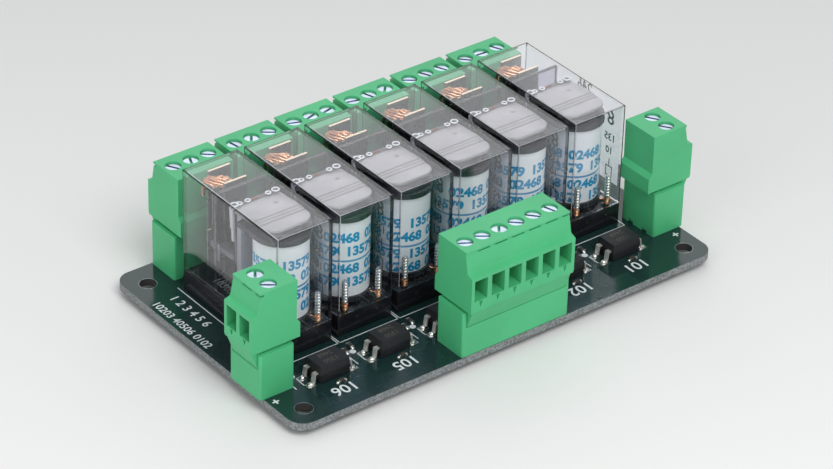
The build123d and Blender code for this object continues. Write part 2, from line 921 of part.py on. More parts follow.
def make_chips():
    """Build the small chip parts beside each optocoupler."""
    upright = [(x + dx, dy) for x in relay_lines for dx, dy in chip_pairs]
    across = [(x + chip_across[0], chip_across[1]) for x in relay_lines]
    with BuildPart() as chips:
        with BuildSketch(level(0)):
            with Locations(*[spot for spot in upright if chip_clear(*spot)]):
                Rectangle(chip_width, chip_length)
            with Locations(*[spot for spot in across if chip_clear(*spot)]):
                Rectangle(chip_length, chip_width)
        extrude(amount=chip_height)
    return chips.part


# Build and write every node

save(make_board(), "board")

save(make_header(site_six), "header_6p")
save(make_header(site_left), "header_2p_left")
save(make_header(site_right), "header_2p_right")
save(make_plug(site_six), "plug_6p")
save(make_plug(site_left), "plug_2p_left")
save(make_plug(site_right), "plug_2p_right")
for index, site in enumerate(sites_triple):
    number = str(relay_count - index)
    save(make_header(site), "header_3p_" + number)
    save(make_plug(site), "plug_3p_" + number)

save(make_header_pins(), "header_pins")
save(make_screws(), "clamp_screws")
save(make_clamps(), "wire_clamps")

for index, x in enumerate(relay_lines):
    number = str(relay_count - index)
    save(make_cover(x), "relay_cover_" + number)
    save(make_base(x), "relay_base_" + number)
    save(make_winding(x), "relay_coil_" + number)
    save(make_armature(x), "relay_armature_" + number)
    save(make_contact_spring(x), "relay_contact_" + number)

save(make_bobbins(), "relay_bobbins")
save(make_yokes(), "relay_yokes")
save(make_coil_pins(), "coil_pins")
save(make_fixed_contacts(closed_y, closed_rivet, True), "rest_contacts")
save(make_fixed_contacts(opened_y, opened_rivet, False), "work_contacts")
save(make_common_terminals(), "common_terminals")
save(make_optocouplers(), "optocouplers")
save(make_chips(), "chip_parts")
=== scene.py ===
"""Looks of a six-relay interface module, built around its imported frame."""

from __future__ import annotations

import json
import logging
import math
from dataclasses import dataclass
from enum import Enum
from functools import cache
from typing import Any, Sequence

import bmesh
import bpy
from mathutils import Matrix, Vector

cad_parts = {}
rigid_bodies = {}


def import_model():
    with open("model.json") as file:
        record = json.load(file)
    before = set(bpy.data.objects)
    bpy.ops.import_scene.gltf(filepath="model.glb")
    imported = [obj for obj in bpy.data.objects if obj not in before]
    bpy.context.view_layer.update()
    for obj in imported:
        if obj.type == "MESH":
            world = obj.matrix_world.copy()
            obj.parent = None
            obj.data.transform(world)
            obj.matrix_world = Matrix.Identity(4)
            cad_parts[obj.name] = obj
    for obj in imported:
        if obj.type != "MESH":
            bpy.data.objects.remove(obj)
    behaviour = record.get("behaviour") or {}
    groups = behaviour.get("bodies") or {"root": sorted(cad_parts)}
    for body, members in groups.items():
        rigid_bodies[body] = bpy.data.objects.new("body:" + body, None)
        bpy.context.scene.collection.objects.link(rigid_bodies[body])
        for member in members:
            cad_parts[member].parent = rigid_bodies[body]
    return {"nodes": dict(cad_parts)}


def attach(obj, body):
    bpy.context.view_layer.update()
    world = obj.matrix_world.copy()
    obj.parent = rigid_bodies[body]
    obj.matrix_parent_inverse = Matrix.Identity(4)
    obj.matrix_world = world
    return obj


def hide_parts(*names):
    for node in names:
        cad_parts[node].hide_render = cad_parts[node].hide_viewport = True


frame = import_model()

LOG = logging.getLogger("relay_module")
MM = 0.001
UP = Vector((0.0, 0.0, 1.0))
STRIP = 0.5  # width of the strips that print is cut into before it is bent

Pair = tuple[float, float]
Triple = tuple[float, float, float]
Span = tuple[Pair, Pair]
Words = tuple[str, float, float, float]  # figures, their size and their place
Box = tuple[Triple, Triple, float]  # two corners and the rounding
Bar = tuple[Triple, float, float]  # foot, radius and length
Ends = tuple[tuple[int, int, int], tuple[int, int, int]]
Socket = bpy.types.NodeSocket
Outputs = bpy.types.NodeOutputs


class Slot(Enum):
    """Material slots of the record, passed along when new pieces are finished."""

    TINNED = "tinned"
    CLEAR = "cover_clear"
    BLACK = "base_black"
    ARMATURE = "armature_steel"
    COPPER = "contact_copper"
    PLATE = "contact_plate"
    CHIP = "chip"


class Axis(Enum):
    """The way a round shape points."""

    X = (1.0, 0.0, 0.0)
    Y = (0.0, 1.0, 0.0)
    Z = (0.0, 0.0, 1.0)

    def turn(self) -> Matrix:
        """Give the rotation that takes Z to this axis."""
        return UP.rotation_difference(Vector(self.value)).to_matrix().to_4x4()


# Materials


class Tree:
    """A node tree with short ways to add nodes, set their inputs and join them."""

    def __init__(self, tree: bpy.types.NodeTree) -> None:
        """Keep the tree.

        Args:
            tree: The node tree to build in.
        """
        self.tree = tree

    def feed(self, socket: bpy.types.NodeSocket, value: Any) -> None:
        """Join a socket to another one or give it a plain value.

        Args:
            socket: The input to set.
            value: An output socket, or a number, colour or vector.
        """
        if isinstance(value, bpy.types.NodeSocket):
            self.tree.links.new(value, socket)
        elif isinstance(value, tuple) and socket.type == "RGBA" and len(value) == 3:
            socket.default_value = (*value, 1.0)
        else:
            socket.default_value = value

    def add(self, kind: str, inputs: dict[Any, Any] | None = None, **settings: Any) -> bpy.types.Node:
        """Add a node.

        Args:
            kind: The node's type name.
            inputs: Values or sockets by input name or number.
            **settings: Properties of the node.

        Returns:
            The new node.
        """
        node = self.tree.nodes.new(kind)
        for name, value in settings.items():
            setattr(node, name, value)
        for name, value in (inputs or {}).items():
            self.feed(node.inputs[name], value)
        return node

    def math(self, operation: str, first: Any, second: Any = 0.0, third: Any = 0.0) -> Socket:
        """Add one step of arithmetic and give its result."""
        inputs = {0: first, 1: second, 2: third}
        return self.add("ShaderNodeMath", inputs, operation=operation).outputs[0]

    def mix(self, share: Any, first: Any, second: Any) -> Socket:
        """Mix two colours by a share and give the result."""
        return self.add("ShaderNodeMix", {0: share, 6: first, 7: second}, data_type="RGBA").outputs[2]

    def ramp(self, value: Any, low: float, high: float, start: float, end: float) -> Socket:
        """Map a value from one range to another, held at both ends."""
        inputs = {"Value": value, "From Min": low, "From Max": high, "To Min": start, "To Max": end}
        return self.add("ShaderNodeMapRange", inputs, clamp=True).outputs["Result"]

    def place(self) -> Socket:
        """Give the place on the module in metres."""
        return self.add("ShaderNodeTexCoord").outputs["Object"]

    def split(self, vector: Any) -> Outputs:
        """Split a vector into its X, Y and Z."""
        return self.add("ShaderNodeSeparateXYZ", {"Vector": vector}).outputs

    def facing(self) -> Socket:
        """Give how far a face looks up."""
        return self.split(self.add("ShaderNodeTexCoord").outputs["Normal"])["Z"]


def new_group(name: str, inputs: dict[str, tuple[str, Any]], outputs: dict[str, str]) -> Tree:
    """Make an empty shader node group with named sockets.

    Args:
        name: The group's name.
        inputs: The socket type and starting value of each input.
        outputs: The socket type of each output.

    Returns:
        The tree of the group, still without nodes.
    """
    group = bpy.data.node_groups.new(name, "ShaderNodeTree")
    for label, (kind, value) in inputs.items():
        socket = group.interface.new_socket(name=label, in_out="INPUT", socket_type=kind)
        if value is not None:
            socket.default_value = value
    for label, kind in outputs.items():
        group.interface.new_socket(name=label, in_out="OUTPUT", socket_type=kind)
    return Tree(group)


@cache
def grain_group() -> bpy.types.NodeTree:
    """Build the group that gives fine grain and broad smudges.

    Returns:
        A group with Grain, Smudge and Height outputs.
    """
    inputs = {
        "Vector": ("NodeSocketVector", None),
        "Fineness": ("NodeSocketFloat", 3000.0),
        "Spread": ("NodeSocketFloat", 90.0),
        "Contrast": ("NodeSocketFloat", 1.0),
    }
    tree = new_group("surface_grain", inputs, dict.fromkeys(("Grain", "Smudge", "Height"), "NodeSocketFloat"))
    start = tree.add("NodeGroupInput").outputs
    fine, broad = (
        tree.add("ShaderNodeTexNoise", {"Vector": start["Vector"], "Scale": start[scale], "Detail": detail})
        for scale, detail in (("Fineness", 3.0), ("Spread", 4.0))
    )
    centred = tree.math("SUBTRACT", fine.outputs["Fac"], 0.5)
    grain = tree.math("MULTIPLY_ADD", centred, start["Contrast"], 0.5)
    smudge = tree.ramp(broad.outputs["Fac"], 0.3, 0.7, 0.0, 1.0)
    tree.add("NodeGroupOutput", {"Grain": grain, "Smudge": smudge, "Height": fine.outputs["Fac"]})
    return tree.tree


@cache
def relay_cell_group() -> bpy.types.NodeTree:
    """Build the group that folds the row of relays onto one.

    Returns:
        A group with X, Y and Z in millimetres from a relay's own middle line, and its number.
    """
    inputs = {"Vector": ("NodeSocketVector", None), "Pitch": ("NodeSocketFloat", 13.335)}
    tree = new_group("relay_cell", inputs, dict.fromkeys(("X", "Y", "Z", "Number"), "NodeSocketFloat"))
    start = tree.add("NodeGroupInput").outputs
    x, y, z = (tree.math("MULTIPLY", part, 1.0 / MM) for part in tree.split(start["Vector"]))
    steps = tree.math("ADD", tree.math("DIVIDE", x, start["Pitch"]), 3.0)
    number = tree.math("FLOOR", steps)
    folded = tree.math("SUBTRACT", tree.math("SUBTRACT", steps, number), 0.5)
    across = tree.math("MULTIPLY", folded, start["Pitch"])
    tree.add("NodeGroupOutput", {"X": across, "Y": y, "Z": z, "Number": number})
    return tree.tree


@dataclass(frozen=True)
class Finish:
    """A finish that any piece can take. Each kind adds its own nodes."""

    name: str
    colour: Triple = (0.5, 0.5, 0.5)
    roughness: float = 0.4

    def material(self) -> bpy.types.Material:
        """Give the material of this finish, made once.

        Returns:
            The material.
        """
        label = f"finish_{self.name}"
        found = bpy.data.materials.get(label)
        if found:
            return found
        made = bpy.data.materials.new(label)
        made.use_nodes = True
        made.node_tree.nodes.clear()
        tree = Tree(made.node_tree)
        tree.add("ShaderNodeOutputMaterial", {"Surface": self.surface(tree)})
        made.diffuse_color = (*self.colour, 1.0)
        return made

    def surface(self, tree: Tree) -> Socket:
        """Build the shader of this finish and give its output."""
        return self.shader(tree, self.colour, self.roughness)

    def shader(self, tree: Tree, colour: Any, roughness: Any, metallic: Any = 0.0, **more: Any) -> Any:
        """Add the main shader.

        Args:
            tree: The material's tree.
            colour: Colour or colour socket.
            roughness: Number or socket.
            metallic: Number or socket.
            **more: Other inputs, with underscores for the spaces in their names.

        Returns:
            The shader's output socket.
        """
        inputs = {"Base Color": colour, "Roughness": roughness, "Metallic": metallic}
        inputs |= {label.replace("_", " "): value for label, value in more.items()}
        return tree.add("ShaderNodeBsdfPrincipled", inputs).outputs[0]

    def grain(self, tree: Tree, fineness: float, spread: float, contrast: float = 1.0) -> Outputs:
        """Add the shared grain group on the module's own coordinates."""
        inputs = {"Vector": tree.place(), "Fineness": fineness, "Spread": spread, "Contrast": contrast}
        return tree.add("ShaderNodeGroup", inputs, node_tree=grain_group()).outputs

    def cell(self, tree: Tree) -> Outputs:
        """Add the shared group that gives the place within one relay's pitch."""
        return tree.add("ShaderNodeGroup", {"Vector": tree.place()}, node_tree=relay_cell_group()).outputs

    def bump(self, tree: Tree, height: Any, strength: float, distance: float) -> Socket:
        """Turn a height into a normal."""
        inputs = {"Height": height, "Strength": strength, "Distance": distance}
        return tree.add("ShaderNodeBump", inputs).outputs["Normal"]


def tint(colour: Sequence[float], share: float) -> Triple:
    """Give a colour with each channel scaled, held below full white."""
    return tuple(min(0.98, channel * share) for channel in colour)


@dataclass(frozen=True)
class Moulded(Finish):
    """Moulded plastic with a fine spark-eroded grain and slight flow marks."""

    fineness: float = 4200.0
    depth: float = 0.25
    variation: float = 0.08
    flow: float = 60.0
    ior: float = 1.5

    def surface(self, tree: Tree) -> Socket:
        """Build the plastic.

        Args:
            tree: The material's tree.

        Returns:
            The shader's output.
        """
        grain = self.grain(tree, self.fineness, self.flow)
        low, high = tint(self.colour, 1.0 - self.variation), tint(self.colour, 1.0 + self.variation)
        colour = tree.mix(grain["Smudge"], low, high)
        spread = 0.12 * self.roughness
        rough = tree.ramp(grain["Grain"], 0.2, 0.8, self.roughness - spread, self.roughness + spread)
        normal = self.bump(tree, grain["Height"], self.depth, 0.02 * MM)
        return self.shader(tree, colour, rough, Normal=normal, IOR=self.ior)


@dataclass(frozen=True)
class Plated(Finish):
    """Bright or satin plated metal with fine drawing lines."""

    drawn: Triple = (900.0, 900.0, 900.0)
    stain: float = 0.12
    depth: float = 0.15

    def surface(self, tree: Tree) -> Socket:
        """Build the metal.

        Args:
            tree: The material's tree.

        Returns:
            The shader's output.
        """
        scaled = tree.add("ShaderNodeVectorMath", {0: tree.place(), 1: self.drawn}, operation="MULTIPLY")
        lines = tree.add("ShaderNodeTexNoise", {"Vector": scaled.outputs[0], "Scale": 1.0, "Detail": 3.0})
        grain = self.grain(tree, 2500.0, 260.0)
        dark, light = tint(self.colour, 1.0 - self.stain), tint(self.colour, 1.0 + self.stain)
        colour = tree.mix(grain["Smudge"], dark, light)
        rough = tree.ramp(lines.outputs["Fac"], 0.3, 0.7, 0.8 * self.roughness, 1.25 * self.roughness)
        normal = self.bump(tree, lines.outputs["Fac"], self.depth, 0.02 * MM)
        return self.shader(tree, self.marked(tree, colour), rough, 1.0, Normal=normal)

    def marked(self, tree: Tree, colour: Any) -> Any:
        """Give the colour with the marks of this kind of metal on it. Plain metal has none."""
        return colour


@dataclass(frozen=True)
class Punched(Plated):
    """Thin punched sheet whose faces that look up, its upper edge among them, are painted paler than its
    other faces as a painted highlight.
    """

    # Colour of the painted highlight on the faces that look up.
    edge: Triple = (0.78, 0.62, 0.45)

    def marked(self, tree: Tree, colour: Any) -> Any:
        """Brighten the faces that look up, a painted highlight."""
        return tree.mix(tree.ramp(tree.facing(), 0.4, 0.6, 0.0, 1.0), colour, self.edge)


@dataclass(frozen=True)
class Pressed(Plated):
    """Pressed plate with painted shade in the creases of its steps and in one small dimple, and darker
    towards its rear edge.
    """

    hinge_y: float = 3.2968
    # Places and half widths of the painted shade at the creases, and place and radius of the painted shade at
    # the dimple.
    crease_shades: tuple[Pair, ...] = ((-6.95, 0.11), (-6.2, 0.07), (-5.45, 0.12))
    dimple_shade: Triple = (2.2, -2.2, 0.25)
    rear: float = 0.45
    share: float = 0.55
    dark: float = 0.3

    def marked(self, tree: Tree, colour: Any) -> Any:
        """Paint shade into the creases and the dimple, and darken the rear edge.

        Args:
            tree: The material's tree.
            colour: The plain metal's colour.

        Returns:
            The marked colour.
        """
        cell = self.cell(tree)
        along = tree.math("SUBTRACT", cell["Y"], self.hinge_y)
        marks = []
        # Painted shade along each crease, where the plate steps down.
        for place, half in self.crease_shades:
            apart = tree.math("ABSOLUTE", tree.math("SUBTRACT", along, place))
            marks.append(tree.ramp(apart, half, half + 0.12, self.share, 0.0))
        # Painted shade in the dimple.
        x, y, radius = self.dimple_shade
        across = tree.math("POWER", tree.math("SUBTRACT", cell["X"], x), 2.0)
        away = tree.math("POWER", tree.math("SUBTRACT", along, y), 2.0)
        apart = tree.math("SQRT", tree.math("ADD", across, away))
        marks.append(tree.ramp(apart, radius, radius + 0.35, self.share, 0.0))
        for mark in marks:
            colour = tree.mix(mark, colour, tint(self.colour, self.dark))
        rear = tree.ramp(along, self.rear, self.rear + 0.15, 0.0, 0.8)
        return tree.mix(rear, colour, tint(self.colour, 0.25))


@dataclass(frozen=True)
class Clear(Finish):
    """Clear plastic that lets the lamps through to what it covers."""

    shade: Triple = (0.955, 0.96, 0.965)
    ior: float = 1.1
    coat: float = 1.0
    ripple: float = 0.03

    def surface(self, tree: Tree) -> Socket:
        """Build the clear plastic.

        Args:
            tree: The material's tree.

        Returns:
            The shader's output.
        """
        grain = self.grain(tree, 110.0, 55.0)
        colour = self.shade_edges(tree, tree.mix(grain["Smudge"], tint(self.colour, 0.985), self.colour))
        normal = self.bump(tree, grain["Height"], self.ripple, 0.1 * MM)
        more = {"IOR": self.ior, "Transmission_Weight": 1.0, "Coat_Weight": self.coat, "Normal": normal}
        glass = self.shader(tree, colour, self.roughness, **more)
        passing = tree.add("ShaderNodeBsdfTransparent", {"Color": self.shade})
        path = tree.add("ShaderNodeLightPath").outputs
        surface = glass
        for ray in ("Is Diffuse Ray", "Is Shadow Ray"):
            mixed = tree.add("ShaderNodeMixShader", {0: path[ray], 1: surface, 2: passing.outputs[0]})
            surface = mixed.outputs[0]
        return surface

    def shade_edges(self, tree: Tree, colour: Any) -> Any:
        """Give the colour with lines of painted shade along the edges. Plain clear pieces have none."""
        return colour


@dataclass(frozen=True)
class Cover(Clear):
    """Clear box with thin lines of painted shade along its rounded outer edges, palest at the front."""

    half_width: float = 6.05
    middle_y: float = 3.7
    half_length: float = 14.4
    top: float = 28.5
    line: float = 0.4
    front_share: float = 0.7
    # Colour of the painted shade along the edges.
    edge: Triple = (0.09, 0.08, 0.075)

    def near(self, tree: Tree, place: Any, limit: float) -> Socket:
        """Give 1 within a line's width of an outer face and 0 further in."""
        return tree.ramp(place, limit - self.line, limit - 0.5 * self.line, 0.0, 1.0)

    def shade_edges(self, tree: Tree, colour: Any) -> Any:
        """Darken what is near two outer faces at once, as painted shade along the edges.

        Args:
            tree: The material's tree.
            colour: The clear plastic's colour.

        Returns:
            The colour with its painted shade lines.
        """
        cell = self.cell(tree)
        along = tree.math("SUBTRACT", cell["Y"], self.middle_y)
        side = self.near(tree, tree.math("ABSOLUTE", cell["X"]), self.half_width)
        end = self.near(tree, tree.math("ABSOLUTE", along), self.half_length)
        lid = self.near(tree, cell["Z"], self.top)
        upright = tree.math("MULTIPLY", side, end)
        level = tree.math("MULTIPLY", tree.math("MAXIMUM", side, end), lid)
        paler = tree.ramp(along, -self.half_length, -0.5 * self.half_length, self.front_share, 1.0)
        share = tree.math("MULTIPLY", tree.math("MAXIMUM", upright, level), paler)
        return tree.mix(share, colour, self.edge)


@dataclass(frozen=True)
class Laminate(Finish):
    """Board with a glossy dark mask, faint copper traces under it, a sawn grey edge and painted shade on the
    walls of its holes.
    """

    trace: Triple = (0.014, 0.038, 0.034)
    edge: Triple = (0.31, 0.33, 0.335)
    # Colour of the painted shade on the walls of the holes.
    bore_shade: Triple = (0.035, 0.035, 0.033)
    inner: Pair = (46.5, 27.0)
    middle_y: float = -0.55
    weave: float = 1400.0

    def surface(self, tree: Tree) -> Socket:
        """Build the board.

        Args:
            tree: The material's tree.

        Returns:
            The shader's output.
        """
        grain = self.grain(tree, 2600.0, 45.0)
        inputs = {"Scale": 90.0, "Mortar Size": 0.012, "Brick Width": 0.9, "Row Height": 0.4}
        pattern = {"offset": 0.37, "squash": 0.6, "squash_frequency": 3}
        bricks = tree.add("ShaderNodeTexBrick", {"Vector": tree.place(), **inputs}, **pattern)
        copper = tree.math("MULTIPLY", bricks.outputs["Fac"], 0.5)
        poured = tree.ramp(grain["Smudge"], 0.45, 0.55, 0.0, 0.7)
        face = tree.mix(tree.math("MAXIMUM", copper, poured), self.colour, self.trace)
        speck = tree.ramp(grain["Grain"], 0.38, 0.62, 0.0, 1.0)
        place = tree.split(tree.place())
        # Upright faces within the board's outline are the hole walls, which get painted shade.
        from_middle = tree.math("ABSOLUTE", tree.math("SUBTRACT", place["Y"], self.middle_y * MM))
        aside = tree.math("LESS_THAN", tree.math("ABSOLUTE", place["X"]), self.inner[0] * MM)
        inside = tree.math("MULTIPLY", aside, tree.math("LESS_THAN", from_middle, self.inner[1] * MM))
        sawn = tree.mix(inside, tree.mix(speck, tint(self.edge, 0.42), self.edge), self.bore_shade)
        cut = tree.ramp(tree.math("ABSOLUTE", tree.facing()), 0.3, 0.6, 1.0, 0.0)
        colour = tree.mix(cut, face, sawn)
        rough = tree.ramp(cut, 0.0, 1.0, self.roughness, 0.75)
        weave = tree.add("ShaderNodeTexNoise", {"Vector": tree.place(), "Scale": self.weave, "Detail": 2.0})
        normal = self.bump(tree, weave.outputs["Fac"], 0.12, 0.02 * MM)
        return self.shader(tree, colour, rough, Normal=normal, IOR=1.5)


@dataclass(frozen=True)
class Tape(Finish):
    """White winding tape with a blue line round its middle and the edge of its overlap."""

    line: Triple = (0.0, 0.27, 0.56)
    line_level: float = 15.6
    line_half: float = 0.17
    middle_y: float = -3.64
    wander: float = 1.1
    turn: float = 2.3
    lap: float = -1.25

    def level(self, index: int) -> float:
        """Give the height of the line on one winding, counted from the left."""
        return self.line_level + self.wander * math.sin(self.turn * index)

    def surface(self, tree: Tree) -> Socket:
        """Build the tape.

        Args:
            tree: The material's tree.

        Returns:
            The shader's output.
        """
        cell = self.cell(tree)
        grain = self.grain(tree, 1800.0, 140.0)
        offset = tree.math("SUBTRACT", cell["Z"], self.line_level)
        turned = tree.math("SINE", tree.math("MULTIPLY", cell["Number"], self.turn))
        shifted = tree.math("MULTIPLY_ADD", turned, -self.wander, offset)
        line = tree.ramp(tree.math("ABSOLUTE", shifted), self.line_half, self.line_half + 0.06, 1.0, 0.0)
        ahead = tree.math("SUBTRACT", self.middle_y, cell["Y"])
        around = tree.math("ARCTAN2", cell["X"], ahead)
        lap = tree.math("ABSOLUTE", tree.math("SUBTRACT", around, self.lap))
        shade = tree.ramp(lap, 0.0, 0.06, 0.8, 1.0)
        white = tree.mix(grain["Smudge"], tint(self.colour, 0.95), self.colour)
        paper = tree.mix(shade, tint(self.colour, 0.7), white)
        colour = tree.mix(tree.math("MULTIPLY", line, 0.9), paper, self.line)
        normal = self.bump(tree, grain["Height"], 0.2, 0.03 * MM)
        return self.shader(tree, colour, self.roughness, Normal=normal)


@dataclass(frozen=True)
class LeadedBody(Finish):
    """Dark moulded body with tinned leads beyond its sides, both in one solid."""

    lead: Triple = (0.92, 0.90, 0.84)
    lead_metal: float = 0.6
    centre_x: float = -0.6
    half_width: float = 3.27

    def surface(self, tree: Tree) -> Socket:
        """Build the body and the leads.

        Args:
            tree: The material's tree.

        Returns:
            The shader's output.
        """
        cell = self.cell(tree)
        grain = self.grain(tree, 2600.0, 300.0, 1.6)
        from_side = tree.math("SUBTRACT", cell["X"], self.centre_x)
        metal = tree.math("GREATER_THAN", tree.math("ABSOLUTE", from_side), self.half_width)
        body = tree.mix(grain["Grain"], tint(self.colour, 0.55), tint(self.colour, 1.5))
        lead = tree.mix(grain["Smudge"], tint(self.lead, 0.7), self.lead)
        colour = tree.mix(metal, body, lead)
        rough = tree.ramp(metal, 0.0, 1.0, self.roughness, 0.28)
        normal = self.bump(tree, grain["Height"], 0.5, 0.05 * MM)
        return self.shader(tree, colour, rough, tree.math("MULTIPLY", metal, self.lead_metal), Normal=normal)


@dataclass(frozen=True)
class Ink(Finish):
    """Printed ink, slightly uneven in cover."""

    def surface(self, tree: Tree) -> Socket:
        """Build the ink.

        Args:
            tree: The material's tree.

        Returns:
            The shader's output.
        """
        grain = self.grain(tree, 1500.0, 500.0)
        colour = tree.mix(grain["Smudge"], tint(self.colour, 0.82), self.colour)
        normal = self.bump(tree, grain["Height"], 0.2, 0.01 * MM)
        return self.shader(tree, colour, self.roughness, Normal=normal)


class Palette:
    """Every finish of the module."""

    board = Laminate("board_mask", (0.010, 0.030, 0.030), 0.13)
    green = Moulded("terminal_green", (0.078, 0.50, 0.215), 0.45, ior=1.42)
    black = Moulded("base_black", (0.012, 0.012, 0.015), 0.24, fineness=1800.0, depth=0.15)
    bobbin = Moulded("bobbin_dark", (0.026, 0.028, 0.034), 0.22, fineness=1500.0, depth=0.12)
    zinc = Plated("zinc_bright", (0.52, 0.60, 0.70), 0.24)
    cage = Plated("cage_metal", (0.55, 0.57, 0.58), 0.35)
    tinned = Plated("tinned_pin", (0.72, 0.71, 0.68), 0.32)
    solder = Plated("solder_bright", (0.80, 0.79, 0.75), 0.16, stain=0.2, depth=0.5)
    yoke = Plated("yoke_steel", (0.42, 0.41, 0.45), 0.38, drawn=(300.0, 300.0, 2500.0))
    # Armature plate with painted shade at its creases and its dimple.
    armature = Pressed(
        "armature_steel", (0.45, 0.43, 0.44), 0.5, drawn=(500.0, 2600.0, 500.0), stain=0.07, depth=0.4
    )
    # Contact plates: their faces that look up carry a painted highlight.
    blade = Punched("contact_plate", (0.21, 0.22, 0.20), 0.3)
    copper = Plated("copper_lead", (1.0, 0.46, 0.25), 0.24, stain=0.2, depth=0.9)
    # Clear covers with lines of painted shade along their edges.
    clear = Cover("cover_clear", (0.94, 0.955, 0.985), 0.0)
    smoky = Clear("barrier_smoky", (0.62, 0.60, 0.71), 0.12, shade=(0.80, 0.79, 0.84))
    bead = Clear("clear_bead", (0.42, 0.43, 0.47), 0.0, ripple=0.3)
    tape = Tape("winding_tape", (0.90, 0.92, 0.94), 0.4)
    opto = LeadedBody("opto_body", (0.013, 0.014, 0.017), 0.5)
    milky = Moulded("milky_plastic", (0.62, 0.61, 0.65), 0.35)
    # Moulded card coloured dark grey as painted shade, a shaded copy of the milky plastic.
    shaded_card = Moulded("card_painted_shade", (0.11, 0.11, 0.14), 0.5)
    # Dark finish for the bars of painted shade and for the print on the cover walls.
    shade_and_print = Moulded("edge_shade_and_print", (0.030, 0.025, 0.022), 0.55)
    # Pale rings and bars of painted highlight, round the beads and along the cover's near edges.
    highlight_white = Moulded("bead_highlight_rim", (0.86, 0.87, 0.90), 0.15, depth=0.1)
    # Lacquered wire end, and the dark core of painted shade inside each copper lead.
    wire_end = Moulded("lacquered_wire_and_copper_shade", (0.32, 0.10, 0.06), 0.35)
    ceramic = Moulded("chip_body", (0.055, 0.05, 0.045), 0.5)
    ink_white = Ink("board_ink", (0.80, 0.84, 0.86), 0.5)
    ink_blue = Ink("tape_ink", (0.0, 0.33, 0.62), 0.5)
    ink_brown = Ink("laser_mark", (0.13, 0.115, 0.09), 0.6)


# Shapes


def cut(mesh: bmesh.types.BMesh, level: float, axis: Axis) -> None:
    """Cut a mesh's faces along a plane.

    Args:
        mesh: The mesh.
        level: The plane's place along the axis.
        axis: The axis that it stands square to.
    """
    normal = Vector(axis.value)
    geom = [*mesh.verts, *mesh.edges, *mesh.faces]
    bmesh.ops.bisect_plane(mesh, geom=geom, plane_co=level * normal, plane_no=normal)


